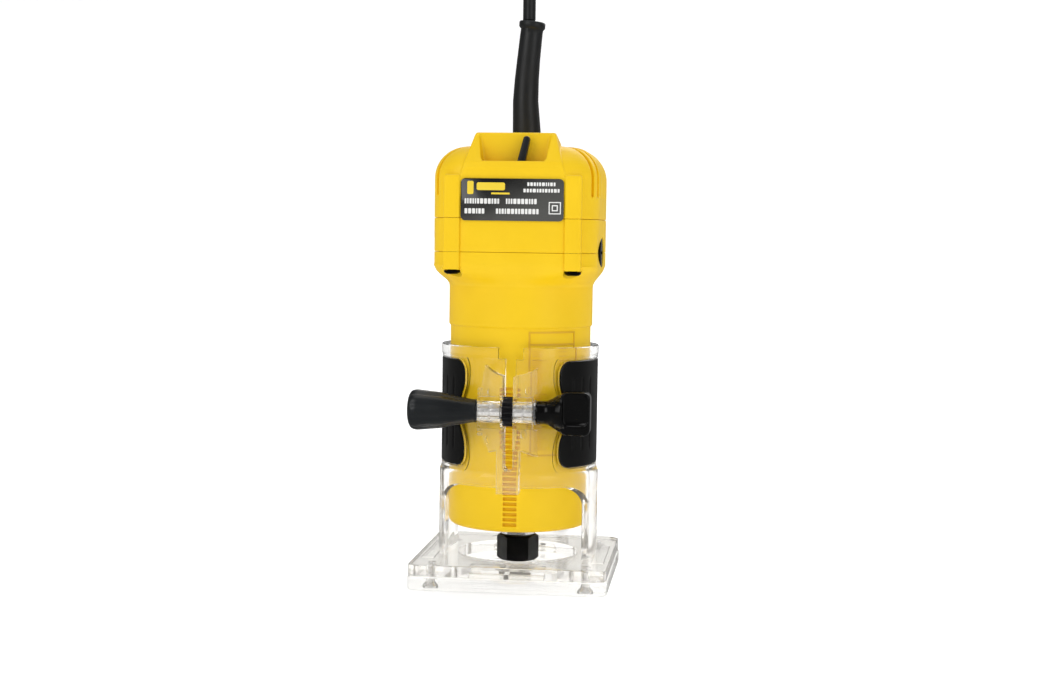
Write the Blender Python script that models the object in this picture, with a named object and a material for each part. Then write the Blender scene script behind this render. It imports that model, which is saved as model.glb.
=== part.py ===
"""Trim router: a mains motor in a plastic housing, held in a clear split base with a rack for depth.

The frame has its origin on the spindle's axis at the underside of the sole, +Z up and the front
towards -Y. Lengths below are in millimetres, and every mesh is scaled to metres when it is made.
"""
import math

import bmesh
import bpy
from mathutils import Matrix, Vector

MM = 0.001
GAP = 0.3
MERGE = 1e-4
# In metres: what a boolean's leftovers are merged within
WELD = 2e-6
THINNEST_EDGE = 1e-6

# Sides of the shells and of the clear sleeve
SHELL_SIDES = 48
SLEEVE_SIDES = 72

# Motor housing, ring and cap
BARREL_R = 32.5
SHOULDER_R = 33.25
BARREL_BOTTOM = 25.0
STEP_Z = 117.5
FLARE_Z = 136.4
FLANGE_Z = 143.4
RING_Z = 151.3
CAP_Z = 166.4
CAP_HALF = 37.5
CAP_CORNER = 18.0
CAVITY_HALF = 34.0
CAVITY_CORNER = 18.5
BARREL_BORE_R = 29.5
DOME_Z = 184.5
DOME_RISE = 14.5
DOME_RUN = 13.5
CROWN_Z = 200.8
HOOD_TOP = 204.6
SCREW_X = 27.0
SCREW_Y = 34.2
PAD_FRONT = 38.2
PAD_TOP = 185.5
REAR_SLOTS = (-15.0, -9.0, -3.0, 3.0, 9.0, 15.0)
REAR_SLOT_HALF = 1.1

# Rack and pinion
MODULE = 0.75
TEETH = 16
PITCH = math.pi * MODULE
PITCH_R = MODULE * TEETH / 2
SHAFT_Y = -37.75
SHAFT_Z = 80.6
SHAFT_R = 3.0
RACK_HALF_WIDTH = 3.1
RACK_GROOVES_BELOW = 22
RACK_GROOVES_ABOVE = 4

# Clear base
PLATE_HALF = 45.0
SOLE_TOP = 5.9
PLATE_BOTTOM = 6.2
PLATE_TOP = 11.5
SLEEVE_IN = 32.8
SLEEVE_OUT = 35.6
LEG_OUT = 36.9
LEG_TOP = 50.2
SLEEVE_TOP = 108.8
WINDOW_TOP = 46.0
WINDOW_HALF = 31.5
WINDOW_CORNER = 10.0
SLOT_HALF = 2.3
SLOT_BOTTOM = 54.2
EAR_REACH = 13.1
EAR_FRONT = -44.4
EAR_SIDE_FRONT = -38.6
BOSS_RIGHT = 10.9
BOSS_LEFT = 13.6
BOSS_HALF = 7.0
BUSH_R = 4.7
GRIP_LOW = 54.3
GRIP_HIGH = 102.7
GRIP_IN = 34.5
GRIP_OUT = 36.2
SOLE_SCREW_X = 35.0
SOLE_SCREW_Y = 33.0
SOLE_HEAD_R = 3.2

# Spindle and collet
NUT_FLATS = 17.0
NUT_BOTTOM = 7.6
NUT_TOP = 19.4
NUT_TURN = math.radians(6.5)
SPINDLE_R = 6.3
COLLET_BORE_R = 3.175

# Switch lever
LEVER_X = 0.6
LEVER_Y = -32.3
LEVER_Z = 180.0
LEVER_LEAN = math.radians(13.0)
LEVER_LENGTH = 23.3

# Brushes
BRUSH_Z = 151.35
BRUSH_CAP_R = 6.8
BRUSH_CAP_FACE = 37.2

# Strain relief and cord
CORD_R = 3.0
RELIEF_Y = 18.0
RELIEF_TOP = 259.6
# The strain relief's own centre line: x and z of its stations, with the radius at each.
RELIEF_STATIONS = [
    (-0.4, 193.0, 6.6), (-0.4, 203.0, 6.6), (-0.6, 208.0, 6.6), (-1.3, 222.0, 6.0),
    (-0.9, 232.0, 5.7), (-0.2, 241.0, 5.45), (1.2, 255.4, 5.25), (1.35, 256.4, 6.2), (1.5, RELIEF_TOP, 6.1),
]
# The hank lies on the floor behind the tool, on a line that is turned a little from the tool's depth.
HANK_TURN = math.radians(6.9)
HANK_NEAR = 125.0
HANK_LENGTH = 117.0
HANK_HALF_WIDTH = 27.0
HANK_LOW = 1.3
HANK_HIGH = 19.3
TIE_MIDDLE = HANK_NEAR + 56.0
TIE_HALF_WIDTH = 6.0
TIE_THICKNESS = 0.9
# The cord's route, from the strain relief up, over and down behind the motor to the hank's first turn.
# Its points are across the hank's line, along it and up.
CORD_ROUTE = [
    (2.06, 17.88, 259.9), (2.06, 17.9, 266.0), (2.06, 18.4, 273.0), (2.07, 20.8, 281.5), (2.1, 26.2, 290.0),
    (2.1, 35.4, 297.2), (2.15, 48.0, 300.6), (2.2, 62.0, 299.6), (2.2, 74.6, 294.2), (2.25, 84.6, 285.0),
    (2.3, 90.4, 273.0), (2.3, 92.8, 258.0), (2.35, 93.4, 232.0), (2.6, 93.2, 204.0), (4.2, 92.8, 175.0),
    (7.4, 92.4, 146.0), (11.6, 92.2, 117.0), (16.0, 92.2, 88.0), (20.0, 92.8, 62.0), (22.6, 95.0, 42.0),
    (23.8, 100.0, 25.0), (24.0, 108.2, 12.2), (24.0, 118.0, 6.0), (24.0, 127.0, 4.3), (24.0, 134.4, 4.3),
]
CORD_STEP = 13.0

# Plug: its cable entry faces the tool and its pins point away from it
PLUG_BACK = HANK_NEAR + 68.0
PLUG_LENGTH = 40.0
PLUG_HALF_THICK = 6.8
PLUG_STATIONS = [(0.0, 4.6, 4.4), (5.0, 5.4, 4.8), (11.0, 7.2, 5.3), (16.0, 13.0, 6.4), (22.0, 17.5, 6.8),
                 (PLUG_LENGTH, 17.7, 6.8)]
PIN_X = 9.5
PIN_R = 2.2
PIN_LENGTH = 19.0

YELLOW = (0.93, 0.62, 0.015)
BLACK = (0.02, 0.02, 0.022)
CLEAR = (0.9, 0.9, 0.88)
STEEL = (0.62, 0.62, 0.64)
DARK_STEEL = (0.18, 0.18, 0.19)
COPPER = (0.72, 0.36, 0.18)
BRASS = (0.75, 0.58, 0.25)
CARBON = (0.06, 0.06, 0.065)


# ---------------------------------------------------------------- building blocks

def clear_scene():
    for old in list(bpy.data.objects):
        bpy.data.objects.remove(old, do_unlink=True)


def make_material(name, colour, roughness, metallic=0.0, alpha=1.0):
    material = bpy.data.materials.new(name)
    material.use_nodes = True
    shader = material.node_tree.nodes["Principled BSDF"]
    shader.inputs["Base Color"].default_value = (*colour, 1.0)
    shader.inputs["Roughness"].default_value = roughness
    shader.inputs["Metallic"].default_value = metallic
    shader.inputs["Alpha"].default_value = alpha
    return material


def lathe(profile, segments, axis="Z", centre=(0.0, 0.0, 0.0)):
    """Turn (radius, height) points about an axis. A profile off the axis closes on itself."""
    bm = bmesh.new()
    verts = [bm.verts.new((radius, 0.0, height)) for radius, height in profile]
    edges = [bm.edges.new(pair) for pair in zip(verts, verts[1:])]
    if profile[0][0] > 0:
        edges.append(bm.edges.new((verts[-1], verts[0])))
    bmesh.ops.spin(bm, geom=verts + edges, cent=(0, 0, 0), axis=(0, 0, 1), angle=math.tau,
                   steps=segments, use_merge=True, use_duplicate=False)
    bmesh.ops.remove_doubles(bm, verts=bm.verts, dist=MERGE)
    if axis == "X":
        bmesh.ops.rotate(bm, verts=bm.verts, cent=(0, 0, 0), matrix=Matrix.Rotation(math.pi / 2, 3, "Y"))
    bmesh.ops.translate(bm, verts=bm.verts, vec=centre)
    bmesh.ops.recalc_face_normals(bm, faces=bm.faces)
    return bm


def drum(radius, low, high, segments=24, axis="Z", centre=(0.0, 0.0, 0.0)):
    return lathe([(0, low), (radius, low), (radius, high), (0, high)], segments, axis, centre)


def tube(inner, outer, low, high, segments=32, axis="Z", centre=(0.0, 0.0, 0.0)):
    profile = [(inner, low), (outer, low), (outer, high), (inner, high)]
    return lathe(profile, segments, axis, centre)


def prism(outline, low, high, axis="Z"):
    """Extrude an outline: (x, y) along Z, (y, z) along X or (x, z) along Y."""
    places = {"Z": lambda a, b: (a, b, low), "X": lambda a, b: (low, a, b), "Y": lambda a, b: (a, low, b)}
    place = places[axis]
    along = {"Z": Vector((0, 0, 1)), "X": Vector((1, 0, 0)), "Y": Vector((0, 1, 0))}[axis]
    bm = bmesh.new()
    face = bm.faces.new([bm.verts.new(place(a, b)) for a, b in outline])
    grown = bmesh.ops.extrude_face_region(bm, geom=[face])
    moved = [item for item in grown["geom"] if isinstance(item, bmesh.types.BMVert)]
    bmesh.ops.translate(bm, verts=moved, vec=along * (high - low))
    bmesh.ops.recalc_face_normals(bm, faces=bm.faces)
    return bm


def box(low, high):
    corners = [(low[0], low[1]), (high[0], low[1]), (high[0], high[1]), (low[0], high[1])]
    return prism(corners, low[2], high[2])


def loft(loops):
    """Skin a row of loops that have the same number of points, and close both ends."""
    bm = bmesh.new()
    rings = [[bm.verts.new(point) for point in loop] for loop in loops]
    count = len(rings[0])
    for ring, after in zip(rings, rings[1:]):
        for i in range(count):
            j = (i + 1) % count
            bm.faces.new((ring[i], ring[j], after[j], after[i]))
    bm.faces.new(rings[0])
    bm.faces.new(rings[-1])
    bmesh.ops.recalc_face_normals(bm, faces=bm.faces)
    return bm


def arc(cx, cy, radius, start, end, steps):
    """Points on an arc, in degrees from start to end."""
    angles = [math.radians(start + (end - start) * i / steps) for i in range(steps + 1)]
    return [(cx + radius * math.cos(a), cy + radius * math.sin(a)) for a in angles]


def rounded_outline(half_x, half_y, radius, steps=5, centre=(0.0, 0.0)):
    points = []
    for sx, sy, start in ((1, 1, 0), (-1, 1, 90), (-1, -1, 180), (1, -1, 270)):
        points += arc(centre[0] + sx * (half_x - radius), centre[1] + sy * (half_y - radius),
                      radius, start, start + 90, steps)
    return points


def square_reach(half, corner, angle):
    """Distance from the centre to the edge of a rounded square, in one direction."""
    c, s = abs(math.cos(angle)), abs(math.sin(angle))
    c, s = max(c, s), min(c, s)
    straight = half - corner
    if half / c * s <= straight:
        return half / c
    along = straight * (c + s)
    return along + math.sqrt(along * along - 2 * straight * straight + corner * corner)


def section(half, corner, z, count=SHELL_SIDES):
    """A level rounded-square loop. With corner equal to half it is a circle."""
    loop = []
    for i in range(count):
        angle = math.tau * (i + 0.5) / count
        reach = square_reach(half, corner, angle)
        loop.append((reach * math.cos(angle), reach * math.sin(angle), z))
    return loop


def dome_sections(half, corner, low, rise, run, crown, steps=5):
    """Loops up a rounded shoulder, from the full section to a gentle crown."""
    loops = []
    for i in range(steps + 1):
        turn = math.pi / 2 * i / steps
        level = half - run * (1 - math.cos(turn))
        loops.append(section(level, min(corner, 0.85 * level), low + rise * math.sin(turn)))
    top = low + rise
    loops.append(section(0.5 * (half - run), 0.42 * (half - run), top + 0.75 * (crown - top)))
    loops.append(section(0.12 * (half - run), 0.1 * (half - run), crown))
    return loops


def to_object(name, bm, material=None, smooth_angle=35.0):
    mesh = bpy.data.meshes.new(name)
    bmesh.ops.scale(bm, vec=(MM, MM, MM), verts=bm.verts)
    bm.to_mesh(mesh)
    bm.free()
    obj = bpy.data.objects.new(name, mesh)
    bpy.context.scene.collection.objects.link(obj)
    if material is not None:
        mesh.materials.append(material)
        mesh.shade_smooth()
        mesh.set_sharp_from_angle(angle=math.radians(smooth_angle))
    return obj


def tidy_mesh(mesh):
    """Merge the hair-thin edges that a boolean can leave."""
    bm = bmesh.new()
    bm.from_mesh(mesh)
    bmesh.ops.remove_doubles(bm, verts=bm.verts, dist=WELD)
    bmesh.ops.dissolve_degenerate(bm, edges=bm.edges, dist=THINNEST_EDGE)
    bm.to_mesh(mesh)
    bm.free()


def combine(obj, operation, *shapes):
    """Add or cut bmeshes one after another with exact booleans, and keep the resulting mesh."""
    for shape in shapes:
        tool = to_object("tool", shape)
        tool.hide_render = True
        tool.display_type = "WIRE"
        modifier = obj.modifiers.new("cut", "BOOLEAN")
        modifier.operation = operation
        modifier.object = tool
        modifier.solver = "EXACT"
        bpy.context.view_layer.update()
        graph = bpy.context.evaluated_depsgraph_get()
        result = bpy.data.meshes.new_from_object(obj.evaluated_get(graph))
        tidy_mesh(result)
        old = obj.data
        obj.modifiers.clear()
        obj.data = result
        bpy.data.meshes.remove(old)
        bpy.data.objects.remove(tool, do_unlink=True)
    return obj


def add(obj, *shapes):
    return combine(obj, "UNION", *shapes)


def cut(obj, *shapes):
    return combine(obj, "DIFFERENCE", *shapes)


def join(*shapes):
    """Put several separate closed shapes into one bmesh."""
    whole = bmesh.new()
    for shape in shapes:
        mesh = bpy.data.meshes.new("join")
        shape.to_mesh(mesh)
        shape.free()
        whole.from_mesh(mesh)
        bpy.data.meshes.remove(mesh)
    return whole


def take_back(obj):
    """Remove an object and return its mesh as a bmesh in millimetres."""
    bm = bmesh.new()
    bm.from_mesh(obj.data)
    bmesh.ops.scale(bm, vec=(1 / MM, 1 / MM, 1 / MM), verts=bm.verts)
    bpy.data.objects.remove(obj, do_unlink=True)
    return bm


def turned(bm, angle, axis="Z", centre=(0.0, 0.0, 0.0)):
    bmesh.ops.rotate(bm, verts=bm.verts, cent=centre, matrix=Matrix.Rotation(angle, 3, axis))
    return bm


def set_origin(obj, point):
    """Move an object's origin to a point without moving its mesh."""
    place = Vector(point) * MM
    obj.data.transform(Matrix.Translation(-place))
    obj.location = place
    return obj


# ---------------------------------------------------------------- housing, ring and cap

def corner_shapes(shape_at):
    return join(*[shape_at(sx * SCREW_X, sy * SCREW_Y) for sx in (-1, 1) for sy in (-1, 1)])


def pads(low, high):
    """The four upright pads that the long screws run through."""
    half_width = 3.7
    depth = 6.0

    def pad(x, y):
        outer = math.copysign(PAD_FRONT, y)
        inner = math.copysign(PAD_FRONT - depth, y)
        return box((x - half_width, min(outer, inner), low), (x + half_width, max(outer, inner), high))

    return corner_shapes(pad)


def screw_holes(low, high):
    clearance = 2.3
    return corner_shapes(lambda x, y: drum(clearance, low, high, 8, "Z", (x, y, 0)))


def brush_holes():
    radius = BRUSH_CAP_R + GAP
    right = drum(radius, 31.0, 45.0, 16, "X", (0, 0, BRUSH_Z))
    left = drum(radius, -45.0, -31.0, 16, "X", (0, 0, BRUSH_Z))
    return join(left, right)


def rack_grooves():
    """Tapered grooves across the front of the barrel, one pitch apart, in mesh at the shaft's height."""
    outside = -(BARREL_R + 1.0)
    root = -(BARREL_R - 1.75)
    mouth = 1.0
    floor = 0.5
    grooves = []
    for k in range(-RACK_GROOVES_BELOW, RACK_GROOVES_ABOVE + 1):
        z = SHAFT_Z + k * PITCH
        outline = [(outside, z - mouth - 0.15), (outside, z + mouth + 0.15)]
        outline += [(root, z + floor), (root, z - floor)]
        grooves.append(prism(outline, -RACK_HALF_WIDTH, RACK_HALF_WIDTH, "X"))
    return join(*grooves)


def motor_housing(material):
    outside = [
        section(30.0, 30.0, BARREL_BOTTOM), section(31.6, 31.6, BARREL_BOTTOM + 0.7),
        section(BARREL_R, BARREL_R, BARREL_BOTTOM + 2.6), section(BARREL_R, BARREL_R, STEP_Z - 0.4),
        section(SHOULDER_R, SHOULDER_R, STEP_Z + 0.4), section(SHOULDER_R, SHOULDER_R, FLARE_Z),
        section(34.2, 29.0, FLARE_Z + 1.8), section(36.3, 20.0, FLARE_Z + 5.0),
        section(37.2, 17.0, FLANGE_Z + 0.6), section(CAP_HALF, CAP_CORNER, FLANGE_Z + 2.6),
        section(CAP_HALF, CAP_CORNER, RING_Z - GAP),
    ]
    obj = to_object("motor_housing", loft(outside), material)
    add(obj, pads(FLANGE_Z, RING_Z - GAP))
    bore = lathe([(0, 20), (9.5, 20), (9.5, 29.6), (13.4, 29.6), (13.4, 38.5), (16.4, 38.5), (16.4, 31.0),
                  (BARREL_BORE_R, 31.0), (BARREL_BORE_R, 138.0), (0, 138.0)], 40)
    upper = [section(BARREL_BORE_R, BARREL_BORE_R, 136.0), section(BARREL_BORE_R, BARREL_BORE_R, 139.0),
             section(CAVITY_HALF, CAVITY_CORNER, 146.0), section(CAVITY_HALF, CAVITY_CORNER, 155.0)]
    cut(obj, bore, loft(upper), screw_holes(FLANGE_Z - 5, RING_Z + 5), brush_holes(), rack_grooves())
    head_room = 4.3
    cut(obj, corner_shapes(lambda x, y: drum(head_room, FLARE_Z - 8, FLANGE_Z - 0.1, 14, "Z", (x, y, 0))))
    vents = []
    for k in range(8):
        vent = box((20.5, -2.0, 20.0), (27.5, 2.0, 33.0))
        vents.append(turned(vent, math.tau * (k + 0.5) / 8))
    return cut(obj, join(*vents))


def middle_ring(material):
    low, high = RING_Z, CAP_Z - GAP
    wall = loft([section(CAP_HALF, CAP_CORNER, low), section(CAP_HALF, CAP_CORNER, high)])
    obj = to_object("middle_ring", wall, material)
    add(obj, pads(low, high))
    hollow = loft([section(CAVITY_HALF, CAVITY_CORNER, low - 4),
                   section(CAVITY_HALF, CAVITY_CORNER, high + 4)])
    return cut(obj, hollow, screw_holes(low - 5, high + 5), brush_holes())


def hood_block():
    """The raised guard round the switch, wider at its foot than at its crest."""
    foot_half, crest_half = 23.3, 17.9
    foot_z = 186.0
    front = -CAP_HALF
    outline = [(front, 176.0), (front, 188.5), (front + 0.7, 191.2), (-29.2, HOOD_TOP - 0.7),
               (-27.9, HOOD_TOP), (-25.6, HOOD_TOP), (-12.0, 198.9), (-12.0, 176.0)]
    bm = prism(outline, -1.0, 1.0, "X")
    for vert in bm.verts:
        rise = (vert.co.z - foot_z) / (HOOD_TOP - foot_z)
        vert.co.x *= foot_half + (crest_half - foot_half) * rise
    return bm


def hood_pocket():
    front, back, back_top = -36.3, -28.8, -28.6
    floor_z, top_z = 187.0, 212.0
    floor_half, top_half = 13.6, 17.6
    return loft([
        [(sx * floor_half, y, floor_z) for sx, y in ((-1, front), (1, front), (1, back), (-1, back))],
        [(sx * top_half, y, top_z) for sx, y in ((-1, front), (1, front), (1, back_top), (-1, back_top))],
    ])


def top_cap(material):
    outside = [section(CAP_HALF, CAP_CORNER, CAP_Z)]
    outside += dome_sections(CAP_HALF, CAP_CORNER, DOME_Z, DOME_RISE, DOME_RUN, CROWN_Z)
    obj = to_object("top_cap", loft(outside), material)
    add(obj, hood_block(), pads(CAP_Z, PAD_TOP))
    hollow = [section(CAVITY_HALF, CAVITY_CORNER, CAP_Z - 4), section(CAVITY_HALF, CAVITY_CORNER, 183.0)]
    hollow += dome_sections(CAVITY_HALF, CAVITY_CORNER, 183.6, 12.4, 12.5, 196.6, 4)
    cavity = to_object("cavity", loft(hollow))
    cut(cavity, box((-20.0, -40.0, 184.3), (20.0, -25.8, 215.0)))
    lever_slot = box((LEVER_X - 5.4, -34.9, 175.5), (LEVER_X + 5.4, -29.7, 190.0))
    cord_hole = drum(6.9, 190.0, 210.0, 20, "Z", (-0.4, RELIEF_Y, 0))
    cut(obj, take_back(cavity), hood_pocket(), lever_slot, cord_hole, screw_holes(CAP_Z - 5, 181.0))
    web = box((-36.0, -3.0, 170.5), (36.0, 3.0, 175.0))
    carrier = to_object("carrier", web)
    add(carrier, drum(14.0, 163.0, 175.0, 24))
    cut(carrier, drum(11.6, 150.0, 190.0, 24))
    add(obj, take_back(carrier))
    slots = [box((x - REAR_SLOT_HALF, 30.0, 174.0), (x + REAR_SLOT_HALF, 42.0, 184.0)) for x in REAR_SLOTS]
    return cut(obj, join(*slots))


def rating_plate(material):
    outline = rounded_outline(22.9, 9.3, 2.0, 4, (0.0, 174.5))
    back = -(CAP_HALF + GAP)
    return to_object("rating_plate", prism(outline, back - 0.5, back, "Y"), material)


def housing_screw(name, x, y, material):
    under_flange = FLANGE_Z - GAP - 0.1
    profile = [(0, 141.3), (2.6, 141.3), (3.7, 142.2), (3.7, under_flange), (1.95, under_flange),
               (1.95, 179.5), (0, 179.5)]
    obj = to_object(name, lathe(profile, 12, "Z", (x, y, 0)), material)
    return cut(obj, box((x - 1.8, y - 0.35, 140.0), (x + 1.8, y + 0.35, 142.0)))


# ---------------------------------------------------------------- switch

def switch_body(material):
    body = box((LEVER_X - 9.0, -33.7, 168.0), (LEVER_X + 9.0, -17.0, 183.9))
    obj = to_object("switch_body", body, material)
    return cut(obj, box((LEVER_X - 4.8, -40.0, 176.5), (LEVER_X + 4.8, -29.9, 190.0)))


def switch_lever(material):
    """A tapered paddle on a round foot. Its origin is on the pivot."""
    top = LEVER_Z + LEVER_LENGTH
    tip = 1.5
    foot = 2.1
    outline = arc(LEVER_X, LEVER_Z, foot, 180, 360, 6) + arc(LEVER_X, top - tip, tip, 0, 180, 6)
    bm = prism(outline, LEVER_Y - 1.9, LEVER_Y + 1.9, "Y")
    turned(bm, LEVER_LEAN, "Y", (LEVER_X, LEVER_Y, LEVER_Z))
    return set_origin(to_object("switch_lever", bm, material), (LEVER_X, LEVER_Y, LEVER_Z))


# ---------------------------------------------------------------- brushes

def brush_parts(side, sign, brass, carbon, spring_steel, plastic):
    """Holder, carbon, spring and cap on one side. sign is -1 on the left and 1 on the right."""
    def span(a, b):
        return (a, b) if sign > 0 else (-b, -a)

    low, high = span(15.0, 32.6)
    channel = box((low, -4.6, BRUSH_Z - 5.6), (high, 4.6, BRUSH_Z + 5.6))
    holder = to_object("brush_holder_" + side, channel, brass)
    low, high = span(10.0, 40.0)
    cut(holder, box((low, -3.3, BRUSH_Z - 4.3), (high, 3.3, BRUSH_Z + 4.3)))
    low, high = span(11.4, 24.0)
    to_object("carbon_brush_" + side, box((low, -3.0, BRUSH_Z - 4.0), (high, 3.0, BRUSH_Z + 4.0)), carbon)
    coil_spring("brush_spring_" + side, sign * 24.8, sign * 31.8, spring_steel)
    low, high = span(32.9, BRUSH_CAP_FACE)
    cap = to_object("brush_cap_" + side, drum(BRUSH_CAP_R, low, high, 16, "X", (0, 0, BRUSH_Z)), plastic)
    low, high = span(BRUSH_CAP_FACE - 1.2, 40.0)
    cut(cap, box((low, -8.0, BRUSH_Z - 0.7), (high, 8.0, BRUSH_Z + 0.7)))


def coil_spring(name, start, end, material):
    """A helix of round wire along X."""
    turns, steps_per_turn = 4, 8
    coil_radius, wire_radius = 2.3, 0.3
    count = turns * steps_per_turn
    loops = []
    for i in range(count + 1):
        angle = math.tau * i / steps_per_turn
        along = start + (end - start) * i / count
        outward = Vector((0, math.cos(angle), math.sin(angle)))
        centre = Vector((along, 0, BRUSH_Z)) + outward * coil_radius
        side = Vector((1, 0, 0))
        loops.append([centre + wire_radius * (outward * math.cos(t) + side * math.sin(t))
                      for t in (math.tau * k / 5 for k in range(5))])
    return to_object(name, loft(loops), material)


# ---------------------------------------------------------------- motor internals

def sector(inner, outer, start, end, low, high, steps):
    outline = arc(0, 0, outer, start, end, steps) + arc(0, 0, inner, end, start, steps)
    return prism(outline, low, high)


def field_core(material):
    obj = to_object("field_core", tube(24.6, 28.9, 92.0, 128.0, 40), material)
    pole = [sector(15.8, 25.6, start, start + 70, 92.0, 128.0, 10) for start in (55, 235)]
    return add(obj, join(*pole))


def field_coil(name, middle, material):
    """A flat winding wrapped round one pole."""
    reach, pole = 62, 38
    obj = to_object(name, sector(17.2, 23.8, middle - reach, middle + reach, 85.0, 135.0, 16), material)
    return cut(obj, sector(10.0, 30.0, middle - pole, middle + pole, 91.5, 128.5, 12))


def spindle(material):
    profile = [(0, 30.0), (4.6, 29.0), (5.2, 10.4), (SPINDLE_R, 10.4), (SPINDLE_R, 19.9), (8.0, 19.9),
               (8.0, 24.4), (5.0, 24.4), (5.0, 40.8), (6.6, 40.8), (6.6, 43.0), (4.0, 43.0), (4.0, 170.0),
               (0, 170.0)]
    obj = to_object("spindle", lathe(profile, 24), material)
    flats = join(box((-10.0, 6.8, 19.0), (10.0, 10.0, 24.0)), box((-10.0, -10.0, 19.0), (10.0, -6.8, 24.0)))
    return cut(obj, flats)


def armature(core_material, copper):
    bars = 8
    bar_ring = 10.6
    core = to_object("armature_core", tube(4.3, 15.0, 94.0, 126.0, 24), core_material)
    places = [(bar_ring * math.cos(math.tau * k / bars), bar_ring * math.sin(math.tau * k / bars), 0)
              for k in range(bars)]
    cut(core, join(*[drum(2.2, 90.0, 130.0, 8, "Z", place) for place in places]))
    windings = to_object("armature_windings", tube(4.6, 14.0, 86.5, 93.5, 24), copper)
    add(windings, join(*[drum(1.85, 92.0, 128.0, 8, "Z", place) for place in places]))
    add(windings, tube(4.6, 14.0, 126.5, 133.5, 24))


def commutator(material):
    obj = to_object("commutator", tube(4.3, 11.1, 142.0, 160.0, 32), material)
    grooves = []
    for k in range(16):
        groove = box((10.5, -0.2, 143.5), (12.0, 0.2, 161.0))
        grooves.append(turned(groove, math.tau * (k + 0.5) / 16))
    return cut(obj, join(*grooves))


def fan(material):
    obj = to_object("fan", tube(4.3, 7.0, 47.0, 59.0, 24), material)
    add(obj, tube(6.0, 25.0, 57.0, 58.4, 32))
    blades = []
    for k in range(9):
        blade = box((6.5, -0.6, 48.0), (24.5, 0.6, 57.5))
        blades.append(turned(blade, math.tau * k / 9))
    return add(obj, join(*blades))


def collet(material):
    profile = [(COLLET_BORE_R, 8.3), (3.9, 8.3), (5.0, 9.6), (4.9, 10.4), (4.35, 28.0),
               (COLLET_BORE_R, 28.0)]
    obj = to_object("collet", lathe(profile, 24), material)
    slits = []
    for k in range(4):
        slit = box((2.0, -0.4, 6.0), (8.0, 0.4, 24.0))
        slits.append(turned(slit, math.tau * k / 4 + 0.3))
    return cut(obj, join(*slits))


def collet_nut(material):
    corner = NUT_FLATS / 2 / math.cos(math.pi / 6)
    hexagon = [(corner * math.cos(a), corner * math.sin(a)) for a in
               (NUT_TURN + math.tau * k / 6 for k in range(6))]
    obj = to_object("collet_nut", prism(hexagon, NUT_BOTTOM, NUT_TOP), material)
    bevel_keeper = lathe([(0, 6.0), (8.6, 6.0), (8.6, NUT_BOTTOM), (corner + 0.1, NUT_BOTTOM + 1.0),
                          (corner + 0.1, NUT_TOP - 1.0), (8.6, NUT_TOP), (0, NUT_TOP + 0.5)], 24)
    combine(obj, "INTERSECT", bevel_keeper)
    bore = [(0, 5.0), (4.3, 5.0), (4.3, 8.0), (5.9, 9.6), (6.6, 10.0), (6.6, 25.0), (0, 25.0)]
    return cut(obj, lathe(bore, 20))


# ---------------------------------------------------------------- clear base

def grip_reach(z):
    """Half the angle, in degrees, that a grip covers at one height: waisted, with round corners."""
    middle = (GRIP_LOW + GRIP_HIGH) / 2
    half_height = (GRIP_HIGH - GRIP_LOW) / 2
    from_middle = abs(z - middle) / half_height
    waist = 46.5 + 6.8 * math.sin(math.pi / 2 * min(1.0, from_middle / 0.62)) ** 2
    corner = 0.26
    past = max(0.0, (from_middle - (1 - corner)) / corner)
    return waist - 9.5 * (1 - math.sqrt(max(0.0, 1 - past * past)))


def grip_patch(side, inner, outer, margin):
    """A curved pad on one side of the sleeve, between two radii. side is -1 on the left, 1 on the right."""
    rows, columns = 10, 8
    low, high = GRIP_LOW - margin, GRIP_HIGH + margin
    spread = math.degrees(margin / inner)
    middle = 0.0 if side > 0 else 180.0
    loops = []
    for i in range(rows + 1):
        t = 0.5 - 0.5 * math.cos(math.pi * i / rows)
        z = low + (high - low) * t
        reach = grip_reach(GRIP_LOW + (GRIP_HIGH - GRIP_LOW) * t) + spread
        loop = arc(0, 0, outer, middle - reach, middle + reach, columns)
        loop += arc(0, 0, inner, middle + reach, middle - reach, columns)
        loops.append([(x, y, z) for x, y in loop])
    return loft(loops)


def ears():
    """Two ears either side of the slot, taller at their outer sides, with a square boss round the shaft."""
    left = [(-SLOT_HALF, 64.0), (-SLOT_HALF, 96.7), (-10.9, 101.1), (-EAR_REACH, 89.0), (-EAR_REACH, 71.8),
            (-8.6, 62.5)]
    right = [(SLOT_HALF, 64.4), (SLOT_HALF, 96.5), (12.2, 100.2), (12.8, 60.8)]
    back = -31.0
    obj = to_object("ears", join(prism(left, -60.0, back, "Y"), prism(right, -60.0, back, "Y")))
    plan = [(-20.0, -20.0), (-20.0, EAR_SIDE_FRONT), (-EAR_REACH, EAR_SIDE_FRONT), (-SLOT_HALF, EAR_FRONT),
            (SLOT_HALF, EAR_FRONT), (EAR_REACH, EAR_SIDE_FRONT), (20.0, EAR_SIDE_FRONT), (20.0, -20.0)]
    combine(obj, "INTERSECT", prism(plan, 40.0, 120.0))
    cut(obj, box((BOSS_RIGHT, -50.0, SHAFT_Z - 8.2), (20.0, -10.0, SHAFT_Z + 8.2)))
    add(obj, box((-BOSS_LEFT, EAR_FRONT, SHAFT_Z - BOSS_HALF), (BOSS_RIGHT, back, SHAFT_Z + BOSS_HALF)))
    add(obj, box((-5.0, -43.0, 44.2), (5.0, back, 66.0)))
    return cut(obj, drum(SLEEVE_IN + 1.0, 20.0, 130.0, SLEEVE_SIDES))


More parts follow.
